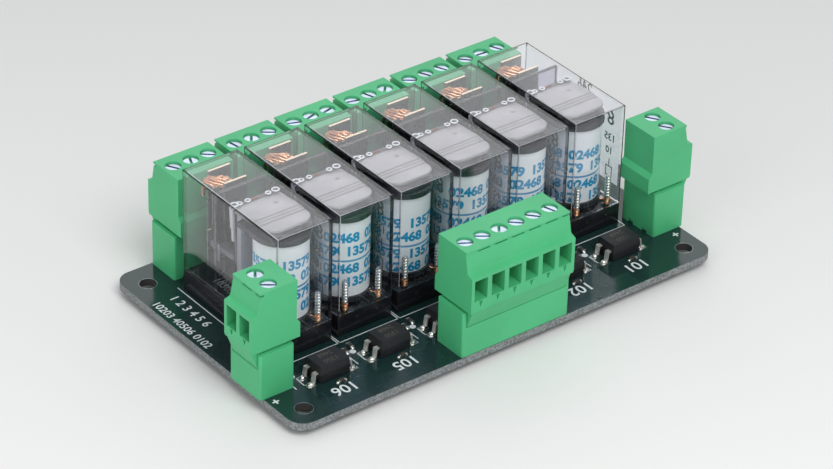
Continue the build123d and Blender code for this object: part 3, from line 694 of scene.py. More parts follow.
class Shape:
    """A mesh under construction, in millimetres of the module's frame."""

    def __init__(self) -> None:
        """Start with an empty mesh."""
        self.mesh = bmesh.new()

    def edges(self, verts: Sequence[bmesh.types.BMVert]) -> list[bmesh.types.BMEdge]:
        """Find the edges between the given vertices."""
        chosen = set(verts)
        return [edge for edge in self.mesh.edges if set(edge.verts) <= chosen]

    def bevel(self, edges: Sequence[bmesh.types.BMEdge], width: float, segments: int) -> None:
        """Round edges.

        Args:
            edges: The edges.
            width: The width of the rounding.
            segments: The number of strips in it.
        """
        bmesh.ops.bevel(
            self.mesh, geom=edges, offset=width, segments=segments, profile=0.5, material=-1, affect="EDGES"
        )

    def soften(self, verts: Sequence[bmesh.types.BMVert], width: float) -> None:
        """Round the edges between the given vertices."""
        self.bevel(self.edges(verts), width, 2)

    def block(
        self, low: Sequence[float], high: Sequence[float], soft: float = 0.0, place: Matrix | None = None
    ) -> Shape:
        """Add a block.

        Args:
            low: Its lowest corner.
            high: Its highest corner.
            soft: The rounding of its edges.
            place: A turn and shift of the whole block.

        Returns:
            This shape.
        """
        low, high = Vector(low), Vector(high)
        sized = Matrix.Translation((low + high) / 2) @ Matrix.Diagonal((*(high - low), 1.0))
        made = bmesh.ops.create_cube(self.mesh, size=1.0, matrix=(place or Matrix()) @ sized)
        if soft:
            self.soften(made["verts"], soft)
        return self

    def blocks(self, boxes: Sequence[Box], place: Matrix) -> Shape:
        """Add several blocks.

        Args:
            boxes: The corners and the rounding of each.
            place: A turn and shift of them all.

        Returns:
            This shape.
        """
        for low, high, soft in boxes:
            self.block(low, high, soft, place)
        return self

    def round_bar(
        self, centre: Sequence[float], radius: float, length: float, axis: Axis = Axis.Z, soft: float = 0.0,
        sides: int = 28, place: Matrix | None = None,
    ) -> Shape:
        """Add a round bar.

        Args:
            centre: The middle of its lower end.
            radius: Its radius.
            length: Its length.
            axis: The way it points.
            soft: The rounding of its rims.
            sides: The number of flats round it.
            place: A turn and shift of the whole bar.

        Returns:
            This shape.
        """
        shift = Matrix.Translation((0.0, 0.0, length / 2))
        matrix = (place or Matrix()) @ Matrix.Translation(Vector(centre)) @ axis.turn() @ shift
        made = bmesh.ops.create_cone(
            self.mesh, cap_ends=True, segments=sides, radius1=radius, radius2=radius, depth=length,
            matrix=matrix,
        )
        if soft:
            edges = self.edges(made["verts"])
            rims = [edge for edge in edges if any(len(face.verts) == sides for face in edge.link_faces)]
            self.bevel(rims, soft, 3)
        return self

    def blob(self, centre: Sequence[float], radii: Sequence[float], place: Matrix | None = None) -> Shape:
        """Add a smooth rounded lump.

        Args:
            centre: Its middle.
            radii: Its three half sizes.
            place: A turn and shift of the lump.

        Returns:
            This shape.
        """
        matrix = (place or Matrix()) @ Matrix.Translation(Vector(centre)) @ Matrix.Diagonal((*radii, 1.0))
        bmesh.ops.create_uvsphere(self.mesh, u_segments=18, v_segments=10, radius=1.0, matrix=matrix)
        return self

    def ring(
        self, centre: Sequence[float], radius: float, thick: float, place: Matrix | None = None,
        steps: int = 28,
    ) -> Shape:
        """Add a ring of round section lying level.

        Args:
            centre: Its middle.
            radius: The radius of its middle line.
            thick: The radius of its section.
            place: A turn and shift of the ring.
            steps: The number of steps round it.

        Returns:
            This shape.
        """
        matrix = (place or Matrix()) @ Matrix.Translation(Vector(centre))
        section = matrix @ Matrix.Translation((radius, 0.0, 0.0)) @ Axis.Y.turn()
        made = bmesh.ops.create_circle(self.mesh, segments=12, radius=thick, matrix=section)
        edges = list({edge for vert in made["verts"] for edge in vert.link_edges})
        bmesh.ops.spin(
            self.mesh, geom=made["verts"] + edges, cent=matrix.translation, axis=matrix.to_3x3() @ UP,
            angle=math.tau, steps=steps, use_merge=True,
        )
        return self

    def coil(self, foot: Sequence[float], radius: float, thick: float, pitch: float, turns: float) -> Shape:
        """Add an upright coil of round wire.

        Args:
            foot: The middle of its lower end.
            radius: The radius of its middle line.
            thick: The radius of the wire.
            pitch: The rise of each turn.
            turns: The number of turns.

        Returns:
            This shape.
        """
        matrix = Matrix.Translation(Vector(foot) + Vector((radius, 0.0, 0.0))) @ Axis.Y.turn()
        made = bmesh.ops.create_circle(self.mesh, cap_ends=False, segments=8, radius=thick, matrix=matrix)
        edges = list({edge for vert in made["verts"] for edge in vert.link_edges})
        steps = int(14 * turns)
        bmesh.ops.spin(
            self.mesh, geom=made["verts"] + edges, cent=Vector(foot), axis=UP, angle=math.tau * turns,
            steps=steps, dvec=Vector((0.0, 0.0, pitch * turns / steps)),
        )
        self.close()
        return self

    def sweep(self, path: Sequence[Sequence[float]], width: float, thick: float, sides: int = 8) -> Shape:
        """Add a bar of oval section along a path.

        Args:
            path: The points that it follows.
            width: The half width of the section across the path, along X where it can be.
            thick: The other half width.
            sides: The number of flats round it.

        Returns:
            This shape.
        """
        points = [Vector(point) for point in path]
        stations = [self.station(points, index) for index in range(len(points))]
        sized = Matrix.Diagonal((width, thick, 1.0, 1.0))
        made = bmesh.ops.create_circle(self.mesh, segments=sides, radius=1.0, matrix=stations[0] @ sized)
        verts = made["verts"]
        for before, after in zip(stations, stations[1:]):
            edges = [edge for edge in self.mesh.edges if edge.verts[0] in verts and edge.verts[1] in verts]
            grown = bmesh.ops.extrude_edge_only(self.mesh, edges=edges)
            verts = [item for item in grown["geom"] if isinstance(item, bmesh.types.BMVert)]
            bmesh.ops.transform(self.mesh, matrix=after @ before.inverted(), verts=verts)
        self.close()
        return self

    @staticmethod
    def station(points: Sequence[Vector], index: int) -> Matrix:
        """Place a swept section at one point of its path.

        Args:
            points: The path.
            index: The point's number.

        Returns:
            The place and turn of the section.
        """
        ahead = points[min(index + 1, len(points) - 1)] - points[max(index - 1, 0)]
        ahead.normalize()
        side = Vector((1.0, 0.0, 0.0)) if abs(ahead.x) < 0.9 else Vector((0.0, 1.0, 0.0))
        up = ahead.cross(side).normalized()
        side = up.cross(ahead)
        turn = Matrix((side, up, ahead)).transposed().to_4x4()
        return Matrix.Translation(points[index]) @ turn

    def window_wall(
        self, across: Sequence[float], upward: Sequence[float], front: float, depth: float, place: Matrix
    ) -> Shape:
        """Add an upright wall with one rectangular opening.

        Args:
            across: The wall's left side, the opening's two sides and the wall's right side.
            upward: The same along Z, from the foot up.
            front: The level of its front face along Y.
            depth: Its thickness.
            place: A shift of the whole wall.

        Returns:
            This shape.
        """
        made = bmesh.ops.create_grid(self.mesh, x_segments=3, y_segments=3, size=1.5)
        for vert in made["verts"]:
            column, row = round(vert.co.x + 1.5), round(vert.co.y + 1.5)
            vert.co = place @ Vector((across[column], front, upward[row]))
        faces = list({face for vert in made["verts"] for face in vert.link_faces})
        middle = [face for face in faces if all(len(vert.link_faces) == 4 for vert in face.verts)]
        bmesh.ops.delete(self.mesh, geom=middle, context="FACES_ONLY")
        kept = [face for face in faces if face.is_valid]
        grown = bmesh.ops.extrude_face_region(self.mesh, geom=kept, use_keep_orig=True)
        raised = [item for item in grown["geom"] if isinstance(item, bmesh.types.BMVert)]
        bmesh.ops.translate(self.mesh, vec=(0.0, depth, 0.0), verts=raised)
        return self

    def text(self, words: str, height: float, place: Matrix, bold: float = 0.0, wrap: float = 0.0) -> Shape:
        """Add flat printed figures.

        Args:
            words: The figures.
            height: Their size.
            place: Their plane, with their middle at its origin.
            bold: How far each stroke is widened.
            wrap: The radius of the upright round body that they lie on, or 0 on a flat one.

        Returns:
            This shape.
        """
        curve = bpy.data.curves.new("figures", "FONT")
        curve.body, curve.size, curve.offset = words, height, bold
        curve.align_x = curve.align_y = "CENTER"
        curve.resolution_u = 3
        holder = bpy.data.objects.new("figures", curve)
        flat = bpy.data.meshes.new_from_object(holder)
        letters = bmesh.new()
        letters.from_mesh(flat)
        bmesh.ops.remove_doubles(letters, verts=letters.verts, dist=1e-4)
        if wrap:
            count = int(max(abs(vert.co.x) for vert in letters.verts) / STRIP)
            for index in range(-count, count + 1):
                cut(letters, index * STRIP, Axis.X)
            for vert in letters.verts:
                angle = vert.co.x / wrap
                vert.co = Vector((wrap * math.sin(angle), vert.co.y, wrap * (math.cos(angle) - 1.0)))
        bmesh.ops.transform(letters, matrix=place, verts=letters.verts)
        letters.to_mesh(flat)
        letters.free()
        self.mesh.from_mesh(flat)
        bpy.data.objects.remove(holder)
        bpy.data.curves.remove(curve)
        bpy.data.meshes.remove(flat)
        return self

    def close(self) -> None:
        """Cap every open end."""
        bmesh.ops.holes_fill(self.mesh, edges=self.mesh.edges, sides=0)

    def finish(
        self, name: str, body: str, finish: Finish, slot: Slot | None = None, sharp: float = 32.0,
        stands_for: Sequence[str] = (), closed: bool = True,
    ) -> bpy.types.Object:
        """Turn the mesh into a finished piece.

        Args:
            name: The piece's name.
            body: The body that it rides on.
            finish: Its finish.
            slot: Not used.
            sharp: The angle in degrees past which an edge stays crisp.
            stands_for: The nodes that it replaces.
            closed: Whether the mesh is closed, so that its faces can be turned outwards.

        Returns:
            The piece.
        """
        bmesh.ops.remove_doubles(self.mesh, verts=self.mesh.verts, dist=1e-5)
        if closed:
            bmesh.ops.recalc_face_normals(self.mesh, faces=self.mesh.faces)
        bmesh.ops.scale(self.mesh, vec=(MM, MM, MM), verts=self.mesh.verts)
        data = bpy.data.meshes.new(name)
        self.mesh.to_mesh(data)
        self.mesh.free()
        for polygon in data.polygons:
            polygon.use_smooth = True
        data.set_sharp_from_angle(angle=math.radians(sharp))
        data.materials.append(finish.material())
        piece = bpy.data.objects.new(name, data)
        bpy.context.scene.collection.objects.link(piece)
        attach(piece, body)
        if stands_for:
            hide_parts(*stands_for)
        return piece


def dress(nodes: Sequence[str], finish: Finish) -> None:
    """Give the named nodes of the frame a finish.

    Args:
        nodes: The nodes' names.
        finish: The finish.
    """
    for name in nodes:
        data = frame["nodes"][name].data
        data.materials.clear()
        data.materials.append(finish.material())


def soften_node(name: str, width: float) -> None:
    """Round the edges of a node of the frame by modifiers, with its mesh left as it is.

    Args:
        name: The node's name.
        width: The width of the rounding in millimetres.
    """
    node = frame["nodes"][name]
    weld = node.modifiers.new("weld", "WELD")
    weld.merge_threshold = 0.002 * MM
    bevel = node.modifiers.new("edge", "BEVEL")
    bevel.limit_method = "ANGLE"
    bevel.angle_limit = math.radians(35.0)
    bevel.width = width * MM
    bevel.segments = 2
    bevel.use_clamp_overlap = True
    bevel.harden_normals = False


# Sub-assemblies


@dataclass
class Layout:
    """Main places of the module, in millimetres."""

    deck: float = 3.0
    pitch: float = 13.335
    count: int = 6
    relay_front: float = -10.7
    relay_length: float = 28.8
    relay_half: float = 6.05
    hinge_y: float = 3.2968
    pole_face: float = 26.0
    open_angle: float = 3.8
    coil_y: float = -3.644
    coil_radius: float = 4.9
    base_top: float = 4.4
    cover_foot: float = 4.45
    cover_top: float = 25.5
    wall: float = 0.6
    lid: float = 0.5
    coat: float = 0.02

    @property
    def relay_back(self) -> float:
        """Give the level of the relays' rear faces."""
        return self.relay_front + self.relay_length

    def x(self, index: int) -> float:
        """Give a relay's middle line, counted from the left."""
        return (index - (self.count - 1) / 2) * self.pitch

    def number(self, index: int) -> int:
        """Give a relay's own number, which counts from the right."""
        return self.count - index


@dataclass
class BoardPrint:
    """Printed outlines, dots and numbers, hole rings and the dressed board."""

    layout: Layout
    line: float = 0.18
    sides: Pair = (-6.6, 6.34)
    ends: Pair = (-12.05, 19.0)
    ticks: tuple[Span, ...] = (((-6.1, -18.9), (-6.1, -16.6)), ((-7.9, -19.1), (-7.9, -16.7)))
    dot: Triple = (-6.4, -15.6, 0.6)
    number_place: Pair = (-0.9, -23.7)
    number_height: float = 3.5
    plus_x: tuple[float, ...] = (-46.3, 45.3)
    plus_y: float = -19.9
    plus_height: float = 2.6
    holes: Triple = (43.5, -24.4, 23.3)
    hole_radius: float = 1.68
    ring_thick: float = 0.05
    margin: tuple[Words, ...] = (("1 2 3 4 5 6", 2.6, -42.4, 11.5), ("10203 40506 0102", 2.3, -46.1, 8.8))

    def stroke(self, shape: Shape, x: float, start: Sequence[float], end: Sequence[float]) -> None:
        """Draw one straight printed line.

        Args:
            shape: The shape that it joins.
            x: The middle line that its ends are counted from.
            start: Its first end, across and along.
            end: Its other end.
        """
        low = [min(a, b) - self.line / 2 for a, b in zip(start, end)]
        high = [max(a, b) + self.line / 2 for a, b in zip(start, end)]
        deck, coat = self.layout.deck, self.layout.coat
        shape.block((x + low[0], low[1], deck - coat), (x + high[0], high[1], deck + coat))

    def outlines(self) -> None:
        """Draw the outline of each relay and the marks in front of it."""
        shape = Shape()
        (left, right), (front, back) = self.sides, self.ends
        corner, other = (left, front), (right, front)
        sides = ((corner, other), (corner, (left, back)), (other, (right, back)))
        dot_x, dot_y, radius = self.dot
        for x in map(self.layout.x, range(self.layout.count)):
            for start, end in sides + self.ticks:
                self.stroke(shape, x, start, end)
            centre = (x + dot_x, dot_y, self.layout.deck - self.layout.coat)
            shape.round_bar(centre, radius, 2.0 * self.layout.coat, sides=20)
        shape.finish("print_outlines", "module", Palette.ink_white)

    def numbers(self) -> None:
        """Print the number of each relay, a plus at each supply terminal and the rows of the margin."""
        shape = Shape()
        level = self.layout.deck + self.layout.coat
        turned, sideways = Matrix.Rotation(math.pi, 4, "Z"), Matrix.Rotation(-math.pi / 2, 4, "Z")
        aside, y = self.number_place
        for index in range(self.layout.count):
            place = Matrix.Translation((self.layout.x(index) + aside, y, level)) @ turned
            shape.text(f"10{self.layout.number(index)}", self.number_height, place, bold=0.05)
        for x in self.plus_x:
            shape.text("+", self.plus_height, Matrix.Translation((x, self.plus_y, level)) @ turned, bold=0.06)
        for words, height, x, y in self.margin:
            shape.text(words, height, Matrix.Translation((x, y, level)) @ sideways, bold=0.03)
        shape.finish("print_numbers", "module", Palette.ink_white, closed=False)

    def hole_rings(self) -> None:
        """Add the bare ring round each screw hole."""
        shape = Shape()
        x, front, back = self.holes
        level = self.layout.deck - 0.7 * self.ring_thick
        for place in ((-x, front), (x, front), (-x, back), (x, back)):
            shape.ring((*place, level), self.hole_radius, self.ring_thick, steps=40)
        shape.finish("hole_rings", "module", Palette.cage)

    def build(self) -> None:
        """Build the whole sub-assembly."""
        dress(["board"], Palette.board)
        self.outlines()
        self.numbers()
        self.hole_rings()


@dataclass
class Terminals:
    """Pluggable screw terminals: housings, plugs, screws and clamps."""

    layout: Layout
    edge: float = 0.12

    def build(self) -> None:
        """Dress the nodes of the terminals and round the edges of the mouldings."""
        kinds = ["6p", "2p_left", "2p_right"] + [f"3p_{index + 1}" for index in range(self.layout.count)]
        mouldings = [f"header_{kind}" for kind in kinds] + [f"plug_{kind}" for kind in kinds]
        dress(mouldings, Palette.green)
        for name in mouldings:
            soften_node(name, self.edge)
        dress(["clamp_screws"], Palette.zinc)
        dress(["wire_clamps"], Palette.cage)
        dress(["header_pins"], Palette.tinned)


@dataclass
class Optocouplers:
    """Optocouplers and small chip parts with their pads and solder."""

    layout: Layout
    centre_x: float = -0.6
    centre_y: float = -18.3
    row: float = 1.27
    toe: float = 4.55
    pad: Pair = (0.85, 0.65)
    fillet: Triple = (0.78, 0.62, 0.5)
    shank: Triple = (0.3, 0.46, 0.95)
    body_top: float = 3.55
    rows: tuple[tuple[str, float], ...] = (("2468", 0.95), ("1350", -0.95))
    figure: float = 1.5
    chip: Triple = (1.6, 0.8, 0.5)
    chip_cap: float = 0.3
    chip_between: Pair = (-7.6, -14.9)
    chip_beside: Pair = (-5.8, -14.0)
    chip_ahead: Pair = (-0.1, -21.7)
    under_plug: tuple[int, ...] = (2, 3)

    def solder(self) -> None:
        """Add the pads and the solder at each lead."""
        pads, solder = Shape(), Shape()
        deck = self.layout.deck
        half_x, half_y = self.pad
        for index in range(self.layout.count):
            for side in (-1, 1):
                for row in (-self.row, self.row):
                    x = self.layout.x(index) + self.centre_x + side * self.toe
                    y = self.centre_y + row
                    pads.block((x - half_x, y - half_y, deck - 0.02), (x + half_x, y + half_y, deck + 0.03))
                    solder.blob((x - side * 0.1, y, deck + 0.12), self.fillet)
                    solder.blob((x - side * 0.75, y, deck + 1.0), self.shank)
        pads.finish("opto_pads", "module", Palette.tinned, Slot.TINNED)
        solder.finish("opto_solder", "module", Palette.solder, Slot.TINNED)

    def marks(self) -> None:
        """Print two rows of plain numbers on each body."""
        shape = Shape()
        level = self.layout.deck + self.body_top + self.layout.coat
        turned = Matrix.Rotation(math.pi, 4, "Z")
        for index in range(self.layout.count):
            for words, y in self.rows:
                place = Matrix.Translation((self.layout.x(index) + self.centre_x, self.centre_y + y, level))
                shape.text(words, self.figure, place @ turned)
        shape.finish("opto_marks", "module", Palette.ink_brown, closed=False)

    def spots(self) -> list[tuple[float, float, bool]]:
        """Find the places of the chip parts.

        Returns:
            The place of each chip across and along, and whether it lies along X.
        """
        found = []
        for index in range(self.layout.count):
            x = self.layout.x(index)
            if index:
                found.append((x + self.chip_between[0], self.chip_between[1], False))
            found.append((x + self.chip_beside[0], self.chip_beside[1], False))
            if index not in self.under_plug:
                found.append((x + self.chip_ahead[0], self.chip_ahead[1], True))
        return found

    def chips(self) -> None:
        """Add the chip parts: ceramic bodies with soldered ends."""
        bodies, ends = Shape(), Shape()
        (length, width, height), cap = self.chip, self.chip_cap
        half, side = length / 2, width / 2
        low, high = (cap - half, 0.02 - side, 0.02), (half - cap, side - 0.02, height - 0.02)
        for x, y, along in self.spots():
            turn = Matrix.Rotation(0.0 if along else math.pi / 2, 4, "Z")
            place = Matrix.Translation((x, y, self.layout.deck)) @ turn
            bodies.block(low, high, 0.03, place)
            for way in (-1, 1):
                near, far = sorted((way * (half - cap - 0.02), way * half))
                ends.block((near, -side, 0.01), (far, side, height), 0.05, place)
                ends.blob((way * (half + 0.05), 0.0, 0.05), (0.32, 0.45, 0.3), place)
        bodies.finish("chip_bodies", "module", Palette.ceramic, Slot.CHIP, stands_for=["chip_parts"])
        ends.finish("chip_ends", "module", Palette.solder, Slot.CHIP)

    def build(self) -> None:
        """Build the whole sub-assembly."""
        dress(["optocouplers"], Palette.opto)
        self.solder()
        self.marks()
        self.chips()


@dataclass
class Relay:
    """One relay: dressed cover and winding, with its base, armature, contact and print."""

    layout: Layout
    index: int
    plate_low: Triple = (-4.5, -10.3, 0.0)
    plate_high: Triple = (5.1, 1.9, 1.0)
    plate_soft: float = 0.14
    nose: float = 2.6
    steps: tuple[float, ...] = (-6.9, -6.5, -5.9, -5.5)
    sunk: tuple[Triple, ...] = ((-10.4, -6.7, 0.34), (-6.7, -5.7, 0.12))
    leg: tuple[Box, ...] = (((-3.2, 1.1, -11.0), (3.2, 1.9, 0.1), 0.1),)
    clip: tuple[Box, ...] = (
        ((-4.75, 1.0, -3.4), (-4.2, 1.9, 1.0), 0.12),
        ((-4.55, 1.2, -6.0), (-4.2, 1.9, -3.2), 0.1),
    )
    # Blocks of the moulded card, which is coloured as painted shade.
    shaded_card: tuple[Box, ...] = (
        ((-3.5, 1.92, -11.4), (3.5, 2.6, -1.2), 0.12),
        ((-4.0, 2.5, -10.6), (-2.8, 9.7, -9.4), 0.15),
    )
    beads: tuple[Pair, ...] = ((-4.3, 0.85), (-3.3, 0.6), (-1.5, 0.58), (2.9, 0.58), (4.5, 0.8))
    bead_y: float = 1.0
    bead_highlight_rim: float = 0.14
    wire_end: Bar = ((-0.9, 1.15, 1.12), 0.13, 1.7)
    blade: tuple[Box, ...] = (
        ((-4.3, 12.4, 5.2), (2.6, 12.7, 15.0), 0.05),
        ((-3.2, 12.4, 14.9), (2.7, 12.7, 23.2), 0.05),
    )
    rivet: Bar = ((0.35, 11.9, 20.5), 1.3, 1.3)
    rivet_soft: float = 0.25
    strands: int = 9
    strand_size: Pair = (0.23, 0.2)
    fan: Pair = (-50.0, 250.0)
    lead_steps: int = 14
    lead_rear: Triple = (-3.1, 15.2, 23.5)
    lead_front: Triple = (0.5, 11.3, 23.3)
    lead_reach: float = 1.15
    lead_clear: Pair = (-2.25, 13.2)
    foot_drops: tuple[Triple, ...] = ((0.0, 0.0, 0.0), (0.1, 0.0, 1.4), (0.0, 0.0, 3.0))
    foot_size: Pair = (0.4, 0.16)
    # Place and size of the dark core of painted shade between the copper strands.
    shade_core_share: float = 0.78
    shade_core_size: Triple = (1.0, 0.65, 1.05)
    base_inset: float = 0.1
    base_lift: float = 0.3
    base_foot: Pair = (0.7, 0.4)
    base_soft: Pair = (0.12, 0.05)
    base_rib: Triple = (13.77, 14.47, 6.4)
    lugs: tuple[Pair, ...] = ((-1.7, 2.35), (2.75, 2.35))
    lug_size: Triple = (0.36, 0.19, 0.8)
    barrier: Pair = (8.193, 0.8)
    window: tuple[Pair, Pair] = ((-4.7, -2.1), (10.8, 14.4))
    barrier_top: float = 24.8
    # Sizes of the dark bars of painted shade along the barrier's top and sides.
    barrier_shade_line: tuple[float, ...] = (0.2, 0.25, 0.12, 0.1)
    # Inset and width of the dark bars of painted shade inside the cover's far edges.
    far_shade_line: Pair = (0.2, 0.15)
    far_shade_ends: tuple[Ends, ...] = (
        ((0, 1, 1), (1, 1, 1)), ((1, 0, 1), (1, 1, 1)), ((1, 1, 0), (1, 1, 1)),
        ((0, 1, 0), (0, 1, 1)), ((1, 0, 0), (1, 0, 1)),
    )
    # Inset and width of the pale bars of painted highlight inside the cover's near edges.
    near_line: Pair = (0.72, 0.09)
    near_ends: tuple[Ends, ...] = (
        ((0, 0, 1), (1, 0, 1)), ((0, 0, 1), (0, 1, 1)), ((0, 0, 0), (0, 0, 1))
    )
    rows: tuple[float, ...] = (-4.5, -1.7, 1.9, 4.7)
    row_words: tuple[str, str] = ("13579", "02468")
    row_copies: int = 4
    row_height: float = 2.6
    ink_gap: float = 0.03
    wall_rows: tuple[Words, ...] = (
        ("246", 2.7, 1.0, 26.8), ("8", 4.0, -6.7, 23.7), ("135", 2.1, -6.7, 19.7), ("10", 2.0, -6.7, 16.9)
    )
    coil_sign: tuple[tuple[Pair, Pair], ...] = (
        ((-7.8, 13.5), (-6.0, 13.7)), ((-7.8, 11.5), (-6.0, 11.7)), ((-7.8, 11.5), (-7.6, 13.7)),
        ((-6.2, 11.5), (-6.0, 13.7)), ((-7.0, 13.7), (-6.8, 15.2)), ((-7.0, 10.0), (-6.8, 11.5)),
    )
    post: Pair = (3.7, -9.404)
    solder_coil: tuple[float, ...] = (9.0, 0.42, 0.2, 0.62, 7.2)
    solder_levels: tuple[float, ...] = (9.5, 10.25, 11.0, 11.75, 12.5, 13.25)
    solder_size: Triple = (0.5, 0.46, 0.46)
    wire_coil: tuple[float, ...] = (7.6, 0.5, 0.12, 0.3, 4.5)
    wire_size: float = 0.11

    @property
    def x(self) -> float:
        """Give the middle line of this relay."""
        return self.layout.x(self.index)

    @property
    def number(self) -> int:
        """Give the number of this relay."""
        return self.layout.number(self.index)

    @property
    def inner(self) -> float:
        """Give the half width of what stands between the cover's walls."""
        return self.layout.relay_half - self.layout.wall - 0.05

    def origin(self) -> Matrix:
        """Give the relay's own frame: on its middle line, level with the board's face."""
        return Matrix.Translation((self.x, 0.0, self.layout.deck))

    def hinge(self) -> Matrix:
        """Give the armature's own frame: origin on the hinge, Y back along the plate."""
        shift = Matrix.Translation((self.x, self.layout.hinge_y, self.layout.pole_face))
        return shift @ Matrix.Rotation(-math.radians(self.layout.open_angle), 4, "X")

    def plate(self) -> Shape:
        """Shape the armature plate: a rounded nose and two steps down towards it.

        Returns:
            The plate in the armature's own frame.
        """
        plate = Shape().block(self.plate_low, self.plate_high)
        mesh, front = plate.mesh, self.plate_low[1]
        ahead = [edge for edge in mesh.edges if all(abs(vert.co.y - front) < 1e-4 for vert in edge.verts)]
        noses = [edge for edge in ahead if abs(edge.verts[0].co.x - edge.verts[1].co.x) < 1e-4]
        plate.bevel(noses, self.nose, 8)
        plate.soften(list(mesh.verts), self.plate_soft)
        for level in self.steps:
            cut(mesh, level, Axis.Y)
        upper = [vert for vert in mesh.verts if vert.co.z > 0.5]
        for low, high, drop in self.sunk:
            verts = [vert for vert in upper if low <= vert.co.y < high]
            bmesh.ops.translate(mesh, vec=(0.0, 0.0, -drop), verts=verts)
        return plate

    def armature(self) -> None:
        """Build the armature: plate with its leg, clip, moulded card coloured dark as painted shade, beads
        with pale rings of painted highlight and a wire's end.
        """
        number, place = self.number, self.hinge()
        body, top = f"armature_{number}", self.plate_high[2]
        plate = self.plate()
        bmesh.ops.transform(plate.mesh, matrix=place, verts=plate.mesh.verts)
        plate.blocks(self.leg, place)
        stands_for = [f"relay_armature_{number}"]
        plate.finish(f"armature_plate_{number}", body, Palette.armature, Slot.ARMATURE, stands_for=stands_for)
        clip, shaded_card = Shape().blocks(self.clip, place), Shape().blocks(self.shaded_card, place)
        clip.finish(f"armature_clip_{number}", body, Palette.milky, Slot.ARMATURE)
        shaded_card.finish(f"armature_card_{number}", body, Palette.shaded_card, Slot.ARMATURE)
        beads, rims = Shape(), Shape()
        for x, size in self.beads:
            # A pale ring of painted highlight round each clear bead.
            rims.ring((x, self.bead_y, top + 0.5 * size), 0.8 * size, self.bead_highlight_rim, place)
            beads.blob((x, self.bead_y, top + 0.1 * size), (0.75 * size, 0.75 * size, 0.6 * size), place)
        wire = Shape().round_bar(*self.wire_end, Axis.X, sides=10, place=place)
        beads.finish(f"armature_beads_{number}", body, Palette.bead, Slot.CLEAR)
        rims.finish(f"bead_rims_{number}", body, Palette.highlight_white, Slot.CLEAR)
        wire.finish(f"wire_end_{number}", body, Palette.wire_end, Slot.COPPER)

    def contact(self) -> None:
        """Build the moving contact: blade, rivet, the folded copper lead and a dark core of painted shade
        between its strands.
        """
        body, stands_for = f"contact_{self.number}", [f"relay_contact_{self.number}"]
        blade = Shape().blocks(self.blade, self.origin())
        blade.round_bar(*self.rivet, Axis.Y, self.rivet_soft, place=self.origin())
        blade.finish(f"contact_blade_{self.number}", body, Palette.blade, Slot.PLATE, stands_for=stands_for)
        lead = Shape()
        for number in range(self.strands):
            lead.sweep(self.strand(number), *self.strand_size)
        for foot in (self.lead_rear, self.lead_front):
            path = [self.origin() @ (Vector(foot) - Vector(drop)) for drop in self.foot_drops]
            lead.sweep(path, *self.foot_size)
        lead.finish(f"copper_lead_{self.number}", body, Palette.copper, Slot.COPPER, sharp=60.0)
        # A dark blob of painted shade inside the copper lead, between its strands.
        middle = Vector(self.lead_rear).lerp(Vector(self.lead_front), self.shade_core_share)
        shade_core = Shape().blob(middle, self.shade_core_size, self.origin())
        shade_core.finish(f"copper_core_{self.number}", body, Palette.wire_end, Slot.COPPER)

    def strand(self, number: int) -> list[Vector]:
        """Follow one strand of the copper lead from its rear foot to its front one.

        Args:
            number: The strand's number.

        Returns:
            The points along it.
        """
        path, (first, spread) = [], self.fan
        rear, front = Vector(self.lead_rear), Vector(self.lead_front)
        angle = math.radians(first + spread * number / (self.strands - 1))
        for step in range(self.lead_steps + 1):
            along = step / self.lead_steps
            wave = math.sin(7.0 * math.pi * along + 2.1 * number + self.index)
            reach = self.lead_reach * math.sin(math.pi * along) ** 0.6 * (1.0 + 0.09 * wave)
            turn = angle + 0.9 * (along - 0.5)
            point = rear.lerp(front, along)
            point += Vector((reach * math.cos(turn), 0.12 * wave, reach * math.sin(turn)))
            if point.y > self.lead_clear[1]:
                point.x = min(point.x, self.lead_clear[0])
            path.append(self.origin() @ point)
        return path

    def base(self) -> None:
        """Build the black base with its feet, its rib and its lugs."""
        layout, place, sink = self.layout, self.origin(), 0.1
        (foot, foot_top), (soft, rib_soft) = self.base_foot, self.base_soft
        half = layout.relay_half - self.base_inset
        front, back = layout.relay_front + self.base_inset, layout.relay_back - self.base_inset
        base = Shape().block((-half, front, self.base_lift), (half, back, layout.base_top), soft, place)
        for x in (foot - half, half - foot):
            for y in (front + foot, back - foot):
                base.block((x - foot, y - foot, 0.0), (x + foot, y + foot, foot_top), place=place)
        near, far, top = self.base_rib
        base.block((-self.inner, near, layout.base_top - sink), (self.inner, far, top), rib_soft, place)
        for x, z in self.lugs:
            base.blob((x, front, z), self.lug_size, place)
        stands_for = [f"relay_base_{self.number}"]
        base.finish(f"base_body_{self.number}", "module", Palette.black, Slot.BLACK, stands_for=stands_for)

    def smoky_barrier(self) -> None:
        """Build the smoky barrier that stands on the base, with a dark line of painted shade round it."""
        inner, (front, thick), (across, upward) = self.inner, self.barrier, self.window
        foot, top, middle = self.layout.base_top, self.barrier_top, front + thick / 2
        wall, line, place = Shape(), Shape(), self.origin()
        wall.window_wall((-inner, *across, inner), (foot, *upward, top), front, thick, place)
        wall.finish(f"barrier_{self.number}", "module", Palette.smoky, Slot.CLEAR)
        # Dark bars of painted shade along the barrier's top and beside its sides.
        half, height, post, side = self.barrier_shade_line
        over = top + self.layout.coat
        line.block((-inner, middle - half, top - height), (inner, middle + half, over), place=place)
        for x in (post - inner, inner - post):
            line.block((x - side, middle - post, foot), (x + side, middle + post, top), place=place)
        line.finish(f"barrier_line_{self.number}", "module", Palette.shade_and_print, Slot.BLACK)

